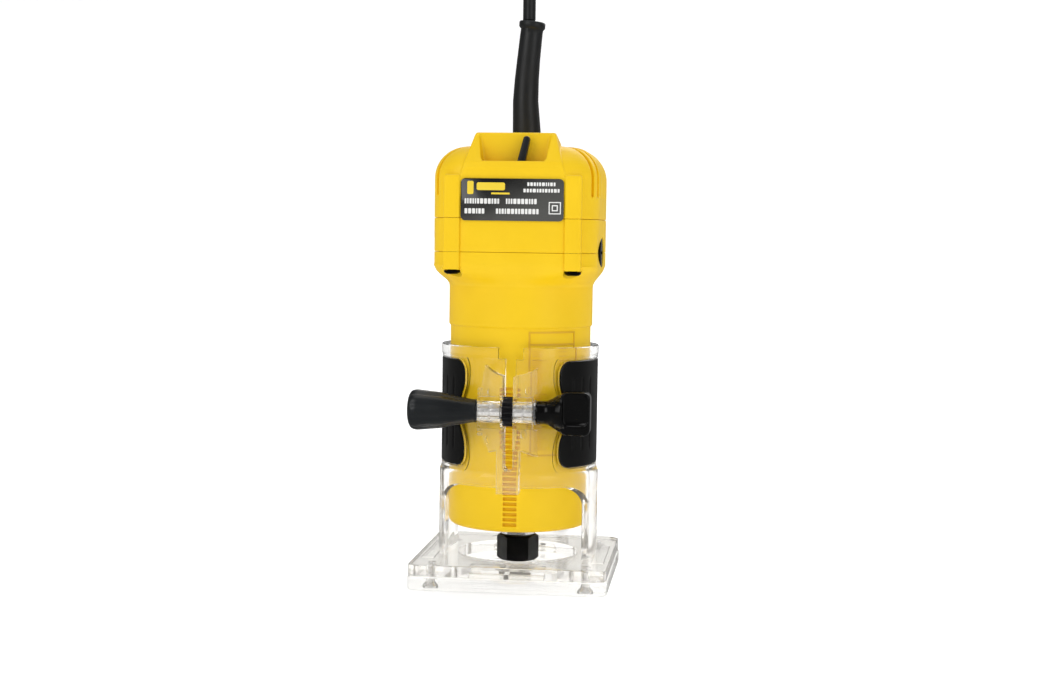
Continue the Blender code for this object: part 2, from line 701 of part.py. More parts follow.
def clear_base(material):
    wall = [(SLEEVE_IN, 10.0), (LEG_OUT, 10.0), (LEG_OUT, LEG_TOP), (SLEEVE_OUT, LEG_TOP + 2.8),
            (SLEEVE_OUT, 103.4), (36.4, 104.6), (36.4, SLEEVE_TOP), (SLEEVE_IN, SLEEVE_TOP)]
    obj = to_object("clear_base", lathe(wall, SLEEVE_SIDES), material)
    arch = [(-WINDOW_HALF, 0.0), (WINDOW_HALF, 0.0)]
    corner_z = WINDOW_TOP - WINDOW_CORNER
    arch += arc(WINDOW_HALF - WINDOW_CORNER, corner_z, WINDOW_CORNER, 0, 90, 6)
    arch += arc(WINDOW_CORNER - WINDOW_HALF, corner_z, WINDOW_CORNER, 90, 180, 6)
    cut(obj, prism(arch, -60.0, 60.0, "Y"))
    add(obj, take_back(ears()))
    plate = to_object("plate", prism(rounded_outline(PLATE_HALF - 0.4, PLATE_HALF - 0.4, 5.0), PLATE_BOTTOM,
                                     PLATE_TOP))
    cut(plate, drum(28.0, 0.0, 30.0, 40))
    add(obj, take_back(plate))
    slot = arc(0.0, SLOT_BOTTOM + SLOT_HALF, SLOT_HALF, 180, 360, 8)
    slot += [(SLOT_HALF, 120.0), (-SLOT_HALF, 120.0)]
    notch = box((-5.6, -50.0, 103.8), (5.6, -25.0, 120.0))
    cut(obj, prism(slot, -60.0, -25.0, "Y"), notch)
    on_axis = (0, SHAFT_Y, SHAFT_Z)
    cut(obj, drum(BUSH_R + GAP, -20.0, 20.0, 20, "X", on_axis))
    cut(obj, drum(7.5, -3.4, 2.2, 20, "X", on_axis))
    cut(obj, drum(5.9, -22.0, -BOSS_LEFT, 20, "X", on_axis), drum(5.9, BOSS_RIGHT, 20.0, 20, "X", on_axis))
    cut(obj, grip_patch(-1, GRIP_IN - GAP, 42.0, 0.4), grip_patch(1, GRIP_IN - GAP, 42.0, 0.4))
    posts = [drum(1.9, 0.0, 9.4, 8, "Z", (sx * SOLE_SCREW_X, sy * SOLE_SCREW_Y, 0))
             for sx in (-1, 1) for sy in (-1, 1)]
    return cut(obj, join(*posts))


def sole_plate(material):
    slab = prism(rounded_outline(PLATE_HALF, PLATE_HALF, 5.0), 0.0, SOLE_TOP)
    obj = to_object("sole_plate", slab, material)
    sink_r = SOLE_HEAD_R + 0.4
    sinks = [lathe([(0, -1.0), (sink_r, -1.0), (sink_r, 1.0), (1.95, 2.8), (1.95, 8.0), (0, 8.0)], 10, "Z",
                   (sx * SOLE_SCREW_X, sy * SOLE_SCREW_Y, 0)) for sx in (-1, 1) for sy in (-1, 1)]
    return cut(obj, drum(15.0, -2.0, 10.0, 32), join(*sinks))


def sole_screw(name, x, y, material):
    profile = [(0, 0.6), (SOLE_HEAD_R, 0.6), (SOLE_HEAD_R, 1.0), (1.6, 2.6), (1.6, 9.0), (0, 9.0)]
    obj = to_object(name, lathe(profile, 10, "Z", (x, y, 0)), material)
    return cut(obj, box((x - 2.0, y - 0.4, 0.0), (x + 2.0, y + 0.4, 1.2)))


# ---------------------------------------------------------------- depth gear and clamp

def on_shaft(name, profile, segments, material):
    """A turned piece on the clamp shaft's axis, with its origin there. The profile is (radius, x)."""
    obj = to_object(name, lathe(profile, segments, "X", (0, SHAFT_Y, SHAFT_Z)), material)
    return set_origin(obj, (0, SHAFT_Y, SHAFT_Z))


def adjusting_knob(material):
    profile = [(0, -45.6), (6.0, -45.2), (8.2, -44.3), (9.1, -42.8), (9.2, -41.4), (8.1, -30.5),
               (5.9, -20.5), (5.2, -16.0), (5.2, -14.3), (3.3, -14.3), (3.3, -40.2), (0, -40.2)]
    return on_shaft("adjusting_knob", profile, 22, material)


def wing_knob(material):
    profile = [(0, 33.0), (3.3, 33.0), (3.3, 12.3), (5.2, 12.3), (5.2, 16.4), (6.0, 18.0), (7.5, 20.6),
               (8.4, 23.0), (8.4, 25.0), (6.0, 30.0), (4.6, 35.0), (0, 35.0)]
    obj = to_object("wing_knob", lathe(profile, 22, "X", (0, SHAFT_Y, SHAFT_Z)), material)
    pad = prism(rounded_outline(6.7, 9.7, 3.0, 4, (29.6, SHAFT_Z)), SHAFT_Y - 5.2, SHAFT_Y + 4.4, "Y")
    add(obj, pad)
    cut(obj, drum(3.3, 10.0, 33.0, 20, "X", (0, SHAFT_Y, SHAFT_Z)))
    dish = drum(26.0, -9.6, 9.6, 80, "Z", (29.6, SHAFT_Y - 30.0, SHAFT_Z))
    cut(obj, dish)
    return set_origin(obj, (0, SHAFT_Y, SHAFT_Z))


def pinion(material):
    """Sixteen slim teeth on a hub. One tooth points straight at the rack."""
    root, half = 4.9, 2.3
    centre_x = -0.58
    stations = [(root, -0.85), (PITCH_R, -0.43), (6.65, -0.2), (6.65, 0.2), (PITCH_R, 0.43), (root, 0.85)]
    outline = []
    for k in range(TEETH):
        turn = math.tau * k / TEETH + math.pi / 2
        for radius, across in stations:
            angle = turn + across / radius
            outline.append((radius * math.sin(angle) + SHAFT_Y, SHAFT_Z - radius * math.cos(angle)))
    obj = to_object("pinion", prism(outline, centre_x - half, centre_x + half, "X"), material)
    cut(obj, drum(SHAFT_R + GAP, -10.0, 10.0, 20, "X", (0, SHAFT_Y, SHAFT_Z)))
    return set_origin(obj, (0, SHAFT_Y, SHAFT_Z))


# ---------------------------------------------------------------- cord

def strain_relief(material):
    loops = []
    sides = 20
    stations = [(-0.4, 190.0, 8.6), (-0.4, 192.8, 8.6)] + RELIEF_STATIONS
    for x, z, radius in stations:
        turns = [math.tau * k / sides for k in range(sides)]
        loops.append([(x + radius * math.cos(t), RELIEF_Y + radius * math.sin(t), z) for t in turns])
    return to_object("strain_relief", loft(loops), material)


def smooth_route(points, step):
    """Points at even steps on a Catmull-Rom curve through the route."""
    turn = Matrix.Rotation(HANK_TURN, 3, "Z")
    knots = [turn @ Vector(point) for point in points]
    knots = [2 * knots[0] - knots[1]] + knots + [2 * knots[-1] - knots[-2]]
    fine = []
    for a, b, c, d in zip(knots, knots[1:], knots[2:], knots[3:]):
        for i in range(20):
            t = i / 20
            fine.append(0.5 * (2 * b + (c - a) * t + (2 * a - 5 * b + 4 * c - d) * t ** 2
                               + (3 * b - a - 3 * c + d) * t ** 3))
    fine.append(knots[-2])
    lengths = [0.0]
    for a, b in zip(fine, fine[1:]):
        lengths.append(lengths[-1] + (b - a).length)
    count = round(lengths[-1] / step)
    even = []
    for i in range(count + 1):
        goal = lengths[-1] * i / count
        j = next(k for k in range(1, len(fine)) if lengths[k] >= goal - 1e-9)
        share = (goal - lengths[j - 1]) / (lengths[j] - lengths[j - 1])
        even.append(fine[j - 1].lerp(fine[j], share))
    return even


def power_cord(material):
    curve = bpy.data.curves.new("power_cord", "CURVE")
    curve.dimensions = "3D"
    curve.bevel_depth = CORD_R * MM
    curve.bevel_resolution = 2
    curve.render_resolution_u = 0
    curve.use_fill_caps = True
    points = smooth_route(CORD_ROUTE, CORD_STEP)
    spline = curve.splines.new("POLY")
    spline.points.add(len(points) - 1)
    for target, point in zip(spline.points, points):
        target.co = (*(point * MM), 1.0)
    obj = bpy.data.objects.new("power_cord", curve)
    bpy.context.scene.collection.objects.link(obj)
    curve.materials.append(material)
    return obj


def along_hank(bm):
    """Turn a shape built along +Y onto the hank's line."""
    return turned(bm, HANK_TURN)


def cord_hank(material):
    near = HANK_NEAR
    far = near + HANK_LENGTH
    r = HANK_HALF_WIDTH
    outline = arc(0, near + r, r, 180, 360, 14) + arc(0, far - r, r, 0, 180, 14)
    return to_object("cord_hank", along_hank(prism(outline, HANK_LOW, HANK_HIGH)), material)


def hank_tie(material):
    inner_x, inner_top = HANK_HALF_WIDTH + GAP, HANK_HIGH + GAP
    reach = inner_x + TIE_THICKNESS
    strap = box((-reach, TIE_MIDDLE - TIE_HALF_WIDTH, 0.0),
                (reach, TIE_MIDDLE + TIE_HALF_WIDTH, inner_top + TIE_THICKNESS))
    hole = box((-inner_x, TIE_MIDDLE - 20.0, HANK_LOW - GAP), (inner_x, TIE_MIDDLE + 20.0, inner_top))
    return cut(to_object("hank_tie", along_hank(strap), material), along_hank(hole))


def plug(body_material, pin_material):
    """A two-pin moulded plug lying on the hank, past its tie."""
    middle_z = HANK_HIGH + GAP + PLUG_HALF_THICK
    loops = []
    for along, half_wide, half_thick in PLUG_STATIONS:
        outline = rounded_outline(half_wide, half_thick, min(4.4, 0.8 * half_thick), 4)
        loops.append([(x, PLUG_BACK + along, middle_z + z) for x, z in outline])
    to_object("plug_body", along_hank(loft(loops)), body_material)
    for name, x in (("plug_pin_1", -PIN_X), ("plug_pin_2", PIN_X)):
        profile = [(0, 0.0), (PIN_R, 0.0), (PIN_R, PIN_LENGTH - 1.0), (1.4, PIN_LENGTH), (0, PIN_LENGTH)]
        pin = turned(lathe(profile, 12), -math.pi / 2, "X")
        bmesh.ops.translate(pin, verts=pin.verts, vec=(x, PLUG_BACK + PLUG_LENGTH + GAP, middle_z))
        to_object(name, along_hank(pin), pin_material)


def cord_clamp(plastic, steel):
    bar = to_object("cord_clamp", box((-11.0, RELIEF_Y - 4, 181.0), (11.0, RELIEF_Y + 4, 185.0)), plastic)
    places = ((1, -8.0), (2, 8.0))
    cut(bar, join(*[drum(1.9, 178.0, 190.0, 12, "Z", (x, RELIEF_Y, 0)) for _, x in places]))
    for number, x in places:
        profile = [(0, 176.0), (1.6, 176.0), (1.6, 185.3), (2.9, 185.3), (2.9, 187.2), (0, 187.2)]
        to_object("cord_clamp_screw_%d" % number, lathe(profile, 12, "Z", (x, RELIEF_Y, 0)), steel)


# ---------------------------------------------------------------- assembly

def build():
    clear_scene()
    yellow = make_material("yellow_plastic", YELLOW, 0.45)
    black = make_material("black_plastic", BLACK, 0.45)
    rubber = make_material("black_rubber", BLACK, 0.75)
    gloss = make_material("label_gloss", BLACK, 0.12)
    clear = make_material("clear_plastic", CLEAR, 0.05, alpha=0.35)
    steel = make_material("steel", STEEL, 0.25, 1.0)
    dark = make_material("dark_steel", DARK_STEEL, 0.35, 1.0)
    copper = make_material("copper", COPPER, 0.35, 1.0)
    brass = make_material("brass", BRASS, 0.3, 1.0)
    carbon = make_material("carbon", CARBON, 0.7)

    motor_housing(yellow)
    middle_ring(yellow)
    top_cap(yellow)
    rating_plate(gloss)
    corners = [(-1, -1), (1, -1), (1, 1), (-1, 1)]
    for number, (sx, sy) in enumerate(corners, 1):
        housing_screw("housing_screw_%d" % number, sx * SCREW_X, sy * SCREW_Y, dark)
    switch_body(black)
    switch_lever(black)
    brush_parts("left", -1, brass, carbon, steel, black)
    brush_parts("right", 1, brass, carbon, steel, black)

    field_core(dark)
    field_coil("field_coil_1", 90, copper)
    field_coil("field_coil_2", 270, copper)
    spindle(steel)
    armature(dark, copper)
    commutator(copper)
    fan(black)
    to_object("front_bearing", tube(5.3, 13.1, 29.9, 38.2, 28), steel)
    to_object("bearing_retainer", tube(7.2, 16.0, 38.8, 40.4, 28), steel)
    to_object("rear_bearing", tube(4.3, 11.1, 163.0, 170.0, 24), steel)
    to_object("fan_baffle", tube(14.0, 29.2, 60.0, 62.0, 32), black)
    collet(steel)
    collet_nut(dark)

    clear_base(clear)
    sole_plate(clear)
    for number, (sx, sy) in enumerate(corners, 1):
        sole_screw("sole_screw_%d" % number, sx * SOLE_SCREW_X, sy * SOLE_SCREW_Y, steel)
    to_object("left_grip", grip_patch(-1, GRIP_IN, GRIP_OUT, 0.0), rubber)
    to_object("right_grip", grip_patch(1, GRIP_IN, GRIP_OUT, 0.0), rubber)

    shaft = [(0, -39.8), (SHAFT_R, -39.8), (SHAFT_R, 32.0), (0, 32.0)]
    on_shaft("clamp_shaft", shaft, 20, steel)
    pinion(black)
    adjusting_knob(black)
    wing_knob(black)
    on_shaft("clamp_washer", [(3.3, 11.3), (5.6, 11.3), (5.6, 12.0), (3.3, 12.0)], 20, steel)
    bush_ends = (("ear_bush_left", -3.7, -BOSS_LEFT - 0.3), ("ear_bush_right", 2.1, BOSS_RIGHT))
    for name, inner_x, outer_x in bush_ends:
        start, end = sorted((inner_x, outer_x))
        bush = [(3.3, start), (BUSH_R, start), (BUSH_R, end), (3.3, end)]
        on_shaft(name, bush, 20, steel)

    strain_relief(rubber)
    power_cord(rubber)
    cord_clamp(black, steel)
    cord_hank(rubber)
    hank_tie(black)
    plug(rubber, brass)


build()
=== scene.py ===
"""Looks of the trim router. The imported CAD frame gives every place. Lengths here are millimetres,
scaled to metres when a mesh is made; +Z is up, the front faces -Y and the spindle stands on the origin."""
import math
import random

import bmesh
import bpy
from mathutils import Matrix, Vector


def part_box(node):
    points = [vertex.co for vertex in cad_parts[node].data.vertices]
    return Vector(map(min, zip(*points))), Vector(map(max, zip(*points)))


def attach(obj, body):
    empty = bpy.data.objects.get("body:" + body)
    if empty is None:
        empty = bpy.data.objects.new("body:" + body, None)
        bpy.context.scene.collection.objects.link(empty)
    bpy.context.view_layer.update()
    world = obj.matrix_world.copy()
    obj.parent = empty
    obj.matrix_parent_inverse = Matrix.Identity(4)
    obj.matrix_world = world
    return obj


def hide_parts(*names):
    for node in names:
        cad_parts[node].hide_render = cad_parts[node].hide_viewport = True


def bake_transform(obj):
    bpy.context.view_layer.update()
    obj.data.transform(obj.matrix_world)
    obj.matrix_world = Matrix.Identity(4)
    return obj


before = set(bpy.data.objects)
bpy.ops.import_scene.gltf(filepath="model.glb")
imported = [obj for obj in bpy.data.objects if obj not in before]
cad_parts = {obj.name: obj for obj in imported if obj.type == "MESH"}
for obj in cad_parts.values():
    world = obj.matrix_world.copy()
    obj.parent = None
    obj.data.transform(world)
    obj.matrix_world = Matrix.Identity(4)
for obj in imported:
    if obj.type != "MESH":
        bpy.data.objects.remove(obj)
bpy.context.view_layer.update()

MM = 0.001
MERGE = 1e-4


def low(node):
    return Vector(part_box(node)[0]) / MM


def high(node):
    return Vector(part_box(node)[1]) / MM


# ---------------------------------------------------------------- sizes, from the frame where it has them

CAP_HALF = 37.5
CAP_CORNER = 18.0
PAD_FRONT = -low("middle_ring").y
BARREL_R = 32.5
SHOULDER_R = 33.25
BARREL_BOTTOM = low("motor_housing").z
STEP_Z = 117.5
FLARE_Z = 136.4
FLANGE_Z = 143.4
RING_Z = 151.3
BRUSH_Z, BRUSH_CAP_R, BRUSH_CAP_FACE = 151.35, 6.8, 37.2
CAP_Z = 166.4
SEAM = 0.12
DOME_Z, DOME_RISE, DOME_RUN, CROWN_Z = 184.5, 14.5, 13.5, 200.8
HOOD_TOP = high("top_cap").z
SCREW_X, SCREW_Y = 27.0, 34.2
SOLE_SCREW_X, SOLE_SCREW_Y = 35.0, 33.0
PAD_TOP = 185.5
LEVER_X, LEVER_Y = 0.6, -32.3
SHAFT_Y = (low("clamp_shaft").y + high("clamp_shaft").y) / 2
SHAFT_Z = (low("clamp_shaft").z + high("clamp_shaft").z) / 2
ON_SHAFT = (0.0, SHAFT_Y, SHAFT_Z)
PITCH = math.pi * 0.75
PLATE_TOP = 11.5
BOSS_HALF, BOSS_LEFT, BOSS_RIGHT = 7.0, -13.6, 10.9
SLEEVE_TOP = high("clear_base").z
NUT_TURN = math.radians(6.5)
HANK_TURN = math.radians(6.9)
RELIEF_Y = 18.0
RELIEF_TOP = high("strain_relief").z
CORD_R = 3.0


# ---------------------------------------------------------------- shapes

def lathe(profile, segments=96, axis="Z", centre=(0.0, 0.0, 0.0)):
    """A solid of revolution from points of radius and height. It is closed where the radius starts at 0."""
    bm = bmesh.new()
    verts = [bm.verts.new((radius, 0.0, height)) for radius, height in profile]
    edges = [bm.edges.new(pair) for pair in zip(verts, verts[1:])]
    if profile[0][0] > 0:
        edges.append(bm.edges.new((verts[-1], verts[0])))
    bmesh.ops.spin(bm, geom=verts + edges, cent=(0, 0, 0), axis=(0, 0, 1), angle=math.tau,
                   steps=segments, use_merge=True, use_duplicate=False)
    bmesh.ops.remove_doubles(bm, verts=bm.verts, dist=MERGE)
    if axis == "X":
        bmesh.ops.rotate(bm, verts=bm.verts, cent=(0, 0, 0), matrix=Matrix.Rotation(math.pi / 2, 3, "Y"))
    shifted(bm, centre)
    bmesh.ops.recalc_face_normals(bm, faces=bm.faces)
    return bm


def rounded(profile, radius, steps=3):
    """A lathe profile with its corners rounded, apart from points on the axis."""
    closed = profile[0][0] > 0
    count = len(profile)
    out = []
    for i, (r, z) in enumerate(profile):
        ends = not closed and i in (0, count - 1)
        if r <= 0 or ends:
            out.append((r, z))
            continue
        here = Vector((r, z))
        before = Vector(profile[i - 1]) - here
        after = Vector(profile[(i + 1) % count]) - here
        reach = min(radius, 0.45 * before.length, 0.45 * after.length)
        a, b = here + before.normalized() * reach, here + after.normalized() * reach
        for k in range(steps + 1):
            t = k / steps
            point = a * (1 - t) ** 2 + here * 2 * t * (1 - t) + b * t ** 2
            out.append((point.x, point.y))
    return out


def drum(radius, z0, z1, segments=48, axis="Z", centre=(0.0, 0.0, 0.0)):
    return lathe([(0, z0), (radius, z0), (radius, z1), (0, z1)], segments, axis, centre)


def prism(outline, start, end, axis="Z"):
    place = {"Z": lambda a, b: (a, b, start), "X": lambda a, b: (start, a, b),
             "Y": lambda a, b: (a, start, b)}[axis]
    along = {"Z": Vector((0, 0, 1)), "X": Vector((1, 0, 0)), "Y": Vector((0, 1, 0))}[axis]
    bm = bmesh.new()
    face = bm.faces.new([bm.verts.new(place(a, b)) for a, b in outline])
    grown = bmesh.ops.extrude_face_region(bm, geom=[face])
    moved = [item for item in grown["geom"] if isinstance(item, bmesh.types.BMVert)]
    bmesh.ops.translate(bm, verts=moved, vec=along * (end - start))
    bmesh.ops.recalc_face_normals(bm, faces=bm.faces)
    return bm


def on_shaft(radius, x0, x1, segments):
    return drum(radius, x0, x1, segments, "X", ON_SHAFT)


def box(lo, hi):
    return prism([(lo[0], lo[1]), (hi[0], lo[1]), (hi[0], hi[1]), (lo[0], hi[1])], lo[2], hi[2])


def soften(bm, width, segments=3, angle=30.0):
    """Round the sharp edges of a simple solid."""
    edges = [edge for edge in bm.edges if len(edge.link_faces) == 2
             and edge.calc_face_angle(0.0) > math.radians(angle)]
    bmesh.ops.bevel(bm, geom=edges, offset=width, segments=segments, profile=0.5, affect="EDGES",
                    clamp_overlap=True)
    return bm


def loft(loops, caps=True):
    """A skin over rings with the same number of points."""
    bm = bmesh.new()
    rings = [[bm.verts.new(point) for point in loop] for loop in loops]
    count = len(rings[0])
    for ring, after in zip(rings, rings[1:]):
        for i in range(count):
            j = (i + 1) % count
            bm.faces.new((ring[i], ring[j], after[j], after[i]))
    if caps:
        bm.faces.new(rings[0])
        bm.faces.new(rings[-1])
    bmesh.ops.recalc_face_normals(bm, faces=bm.faces)
    return bm


def arc(cx, cy, radius, start, end, steps):
    angles = [math.radians(start + (end - start) * i / steps) for i in range(steps + 1)]
    return [(cx + radius * math.cos(a), cy + radius * math.sin(a)) for a in angles]


def rounded_outline(half_x, half_y, radius, steps=8, centre=(0.0, 0.0)):
    points = []
    for sx, sy, start in ((1, 1, 0), (-1, 1, 90), (-1, -1, 180), (1, -1, 270)):
        points += arc(centre[0] + sx * (half_x - radius), centre[1] + sy * (half_y - radius),
                      radius, start, start + 90, steps)
    return points


def square_reach(half, corner, angle):
    """How far the edge of a square with round corners is from its middle, at an angle."""
    c, s = abs(math.cos(angle)), abs(math.sin(angle))
    c, s = max(c, s), min(c, s)
    straight = half - corner
    if half / c * s <= straight:
        return half / c
    along = straight * (c + s)
    return along + math.sqrt(along * along - 2 * straight * straight + corner * corner)


def section(half, corner, z, count=144):
    loop = []
    for i in range(count):
        angle = math.tau * (i + 0.5) / count
        reach = square_reach(half, corner, angle)
        loop.append((reach * math.cos(angle), reach * math.sin(angle), z))
    return loop


def dome_sections(half, corner, start, rise, run, crown, steps=14):
    loops = []
    for i in range(steps + 1):
        turn = math.pi / 2 * i / steps
        level = half - run * (1 - math.cos(turn))
        loops.append(section(level, min(corner, 0.85 * level), start + rise * math.sin(turn)))
    top, inner = start + rise, half - run
    for share, lift in ((0.75, 0.45), (0.5, 0.75), (0.3, 0.9), (0.12, 1.0)):
        loops.append(section(share * inner, 0.84 * share * inner, top + lift * (crown - top)))
    return loops


def edge_fillet(half, corner, z, inward, radius=0.3, steps=3):
    """Loops that round the rim of a shell. inward is 1 on a lower rim and -1 on an upper one."""
    loops = []
    for i in range(steps + 1):
        turn = math.pi / 2 * i / steps
        inset = radius * (1 - math.sin(turn))
        loops.append(section(half - inset, corner - inset, z + inward * radius * (1 - math.cos(turn))))
    return loops if inward > 0 else loops[::-1]


def join(*shapes):
    whole = bmesh.new()
    for shape in shapes:
        mesh = bpy.data.meshes.new("join")
        shape.to_mesh(mesh)
        shape.free()
        whole.from_mesh(mesh)
        bpy.data.meshes.remove(mesh)
    return whole


def turned(bm, angle, axis="Z", centre=(0.0, 0.0, 0.0)):
    bmesh.ops.rotate(bm, verts=bm.verts, cent=centre, matrix=Matrix.Rotation(angle, 3, axis))
    return bm


def shifted(bm, vec):
    bmesh.ops.translate(bm, verts=bm.verts, vec=vec)
    return bm


def at_corners(half_x, half_y):
    return [(sx * half_x, sy * half_y) for sx in (-1, 1) for sy in (-1, 1)]


def clamp(value):
    return max(0.0, min(1.0, value))


def to_object(name, bm, material=None, sharp=32.0):
    mesh = bpy.data.meshes.new(name)
    bmesh.ops.scale(bm, vec=(MM, MM, MM), verts=bm.verts)
    bm.to_mesh(mesh)
    bm.free()
    obj = bpy.data.objects.new(name, mesh)
    bpy.context.scene.collection.objects.link(obj)
    if material is not None:
        mesh.materials.append(material)
    shade(obj, sharp)
    return obj


def shade(obj, sharp=32.0):
    obj.data.shade_smooth()
    obj.data.set_sharp_from_angle(angle=math.radians(sharp))


def even_shading(obj, sharp=34.0):
    shade(obj, sharp)
    even = obj.modifiers.new("normals", "WEIGHTED_NORMAL")
    even.keep_sharp = True
    return obj


def bake_modifiers(obj):
    bpy.context.view_layer.update()
    graph = bpy.context.evaluated_depsgraph_get()
    result = bpy.data.meshes.new_from_object(obj.evaluated_get(graph))
    old = obj.data
    obj.modifiers.clear()
    obj.data = result
    bpy.data.meshes.remove(old)
    return obj


def take_back(obj):
    """The shape of an object in millimetres again, ready for join."""
    bm = bmesh.new()
    bm.from_mesh(obj.data)
    bmesh.ops.scale(bm, vec=(1 / MM, 1 / MM, 1 / MM), verts=bm.verts)
    bpy.data.objects.remove(obj, do_unlink=True)
    return bm


def combine(obj, operation, *shapes):
    """Booleans with shapes that are either bmeshes in millimetres or objects, which are used up."""
    for shape in shapes:
        tool = to_object("tool", take_back(shape) if isinstance(shape, bpy.types.Object) else shape)
        modifier = obj.modifiers.new("cut", "BOOLEAN")
        modifier.operation = operation
        modifier.object = tool
        modifier.solver = "EXACT"
        bake_modifiers(obj)
        bpy.data.objects.remove(tool, do_unlink=True)
        bm = bmesh.new()
        bm.from_mesh(obj.data)
        bmesh.ops.remove_doubles(bm, verts=bm.verts, dist=2e-6)
        bmesh.ops.dissolve_degenerate(bm, edges=bm.edges, dist=1e-6)
        bm.to_mesh(obj.data)
        bm.free()
    return obj


def add(obj, *shapes):
    return combine(obj, "UNION", *shapes)


def cut(obj, *shapes):
    return combine(obj, "DIFFERENCE", *shapes)


def bevel_edges(obj, width, segments=2, angle=35.0):
    """Round the edges that booleans left, and even out the shading."""
    modifier = obj.modifiers.new("edges", "BEVEL")
    modifier.width = width * MM
    modifier.segments = segments
    modifier.limit_method = "ANGLE"
    modifier.angle_limit = math.radians(angle)
    modifier.use_clamp_overlap = True
    modifier.harden_normals = False
    return even_shading(bake_modifiers(obj), 40.0)


def moulded(obj, voxel, smooth):
    """Remake a solid on a fine even grid, so that every edge comes out softly rounded."""
    remesh = obj.modifiers.new("remesh", "REMESH")
    remesh.mode = "VOXEL"
    remesh.voxel_size = voxel * MM
    soft = obj.modifiers.new("soft", "SMOOTH")
    soft.factor = 0.5
    soft.iterations = smooth
    bake_modifiers(obj)
    obj.data.shade_smooth()
    return obj


def piece(obj, body, *nodes, slot=None):
    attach(obj, body)
    if nodes:
        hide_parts(*nodes)
    return obj


# ---------------------------------------------------------------- camera

def make_camera():
    """The camera stands at a distance, bearing and height, and is turned by its pan, tilt and roll."""
    distance, eye_height = 788.8, 159.54
    azimuth, pan, tilt, roll = (math.radians(a) for a in (6.915, -0.155, 3.91, 0.792))
    data = bpy.data.cameras.new("camera")
    data.sensor_width = 36.0
    data.lens = 58.21
    data.clip_start, data.clip_end = 0.02, 20.0
    camera = bpy.data.objects.new("camera", data)
    bpy.context.scene.collection.objects.link(camera)
    camera.location = Vector((distance * math.sin(azimuth), -distance * math.cos(azimuth), eye_height)) * MM
    heading = azimuth + pan
    forward = Vector((-math.sin(heading) * math.cos(tilt), math.cos(heading) * math.cos(tilt),
                      -math.sin(tilt)))
    level = Vector((math.cos(heading), math.sin(heading), 0.0))
    upright = level.cross(forward)
    right = math.cos(roll) * level + math.sin(roll) * upright
    up = math.cos(roll) * upright - math.sin(roll) * level
    camera.rotation_mode = "QUATERNION"
    camera.rotation_quaternion = Matrix((right, up, -forward)).transposed().to_quaternion()
    bpy.context.scene.camera = camera


make_camera()


# ---------------------------------------------------------------- materials

def mixed(tree, share, first, second):
    """A shader that is the second one to the given share, or half and half without a share."""
    mix = tree.nodes.new("ShaderNodeMixShader")
    if share:
        tree.links.new(share, mix.inputs["Fac"])
    tree.links.new(first, mix.inputs[1])
    tree.links.new(second, mix.inputs[2])
    return mix.outputs["Shader"]


class Nodes:
    """A Principled material with its coordinates, ready for textures."""

    def __init__(self, name, colour, roughness, metallic=0.0):
        self.material = bpy.data.materials.new(name)
        self.material.use_nodes = True
        self.tree = self.material.node_tree
        self.shader = self.tree.nodes["Principled BSDF"]
        self.output = self.tree.nodes["Material Output"]
        self.set("Base Color", (*colour, 1.0))
        self.set("Roughness", roughness)
        self.set("Metallic", metallic)
        self.where = self.new("ShaderNodeTexCoord").outputs["Object"]

    def new(self, kind, **settings):
        node = self.tree.nodes.new(kind)
        for key, value in settings.items():
            setattr(node, key, value)
        return node

    def set(self, socket, value):
        self.shader.inputs[socket].default_value = value

    def link(self, a, b):
        self.tree.links.new(a, b)

    def maths(self, kind, *values):
        node = self.new("ShaderNodeMath", operation=kind)
        for socket, value in zip(node.inputs, values):
            if isinstance(value, float):
                socket.default_value = value
            else:
                self.link(value, socket)
        return node.outputs["Value"]

    def lobe(self, kind, colour):
        node = self.new(kind)
        node.inputs["Color"].default_value = (*colour, 1.0)
        return node.outputs["BSDF"]

    def noise(self, scale, detail=3.0, roughness=0.55, stretch=None):
        node = self.new("ShaderNodeTexNoise")
        node.inputs["Scale"].default_value = scale
        node.inputs["Detail"].default_value = detail
        node.inputs["Roughness"].default_value = roughness
        source = self.where
        if stretch:
            mapping = self.new("ShaderNodeMapping")
            mapping.inputs["Scale"].default_value = stretch
            self.link(source, mapping.inputs["Vector"])
            source = mapping.outputs["Vector"]
        self.link(source, node.inputs["Vector"])
        return node.outputs["Fac"]

    def spread(self, fac, low_value, high_value, start=0.3, end=0.7):
        node = self.new("ShaderNodeMapRange")
        node.inputs["From Min"].default_value = start
        node.inputs["From Max"].default_value = end
        node.inputs["To Min"].default_value = low_value
        node.inputs["To Max"].default_value = high_value
        self.link(fac, node.inputs["Value"])
        return node.outputs["Result"]

    def vary_roughness(self, scale, detail, smooth, rough):
        self.link(self.spread(self.noise(scale, detail), smooth, rough), self.shader.inputs["Roughness"])

    def vary_colour(self, fac, dark, light, start=0.35, end=0.65):
        ramp = self.new("ShaderNodeValToRGB")
        ramp.color_ramp.elements[0].position = start
        ramp.color_ramp.elements[1].position = end
        ramp.color_ramp.elements[0].color = (*dark, 1.0)
        ramp.color_ramp.elements[1].color = (*light, 1.0)
        self.link(fac, ramp.inputs["Fac"])
        self.link(ramp.outputs["Color"], self.shader.inputs["Base Color"])
        return ramp

    def bump(self, fac, strength, distance, before=None):
        node = self.new("ShaderNodeBump")
        node.inputs["Strength"].default_value = strength
        node.inputs["Distance"].default_value = distance * MM
        self.link(fac, node.inputs["Height"])
        if before:
            self.link(before, node.inputs["Normal"])
        self.link(node.outputs["Normal"], self.shader.inputs["Normal"])
        return node.outputs["Normal"]


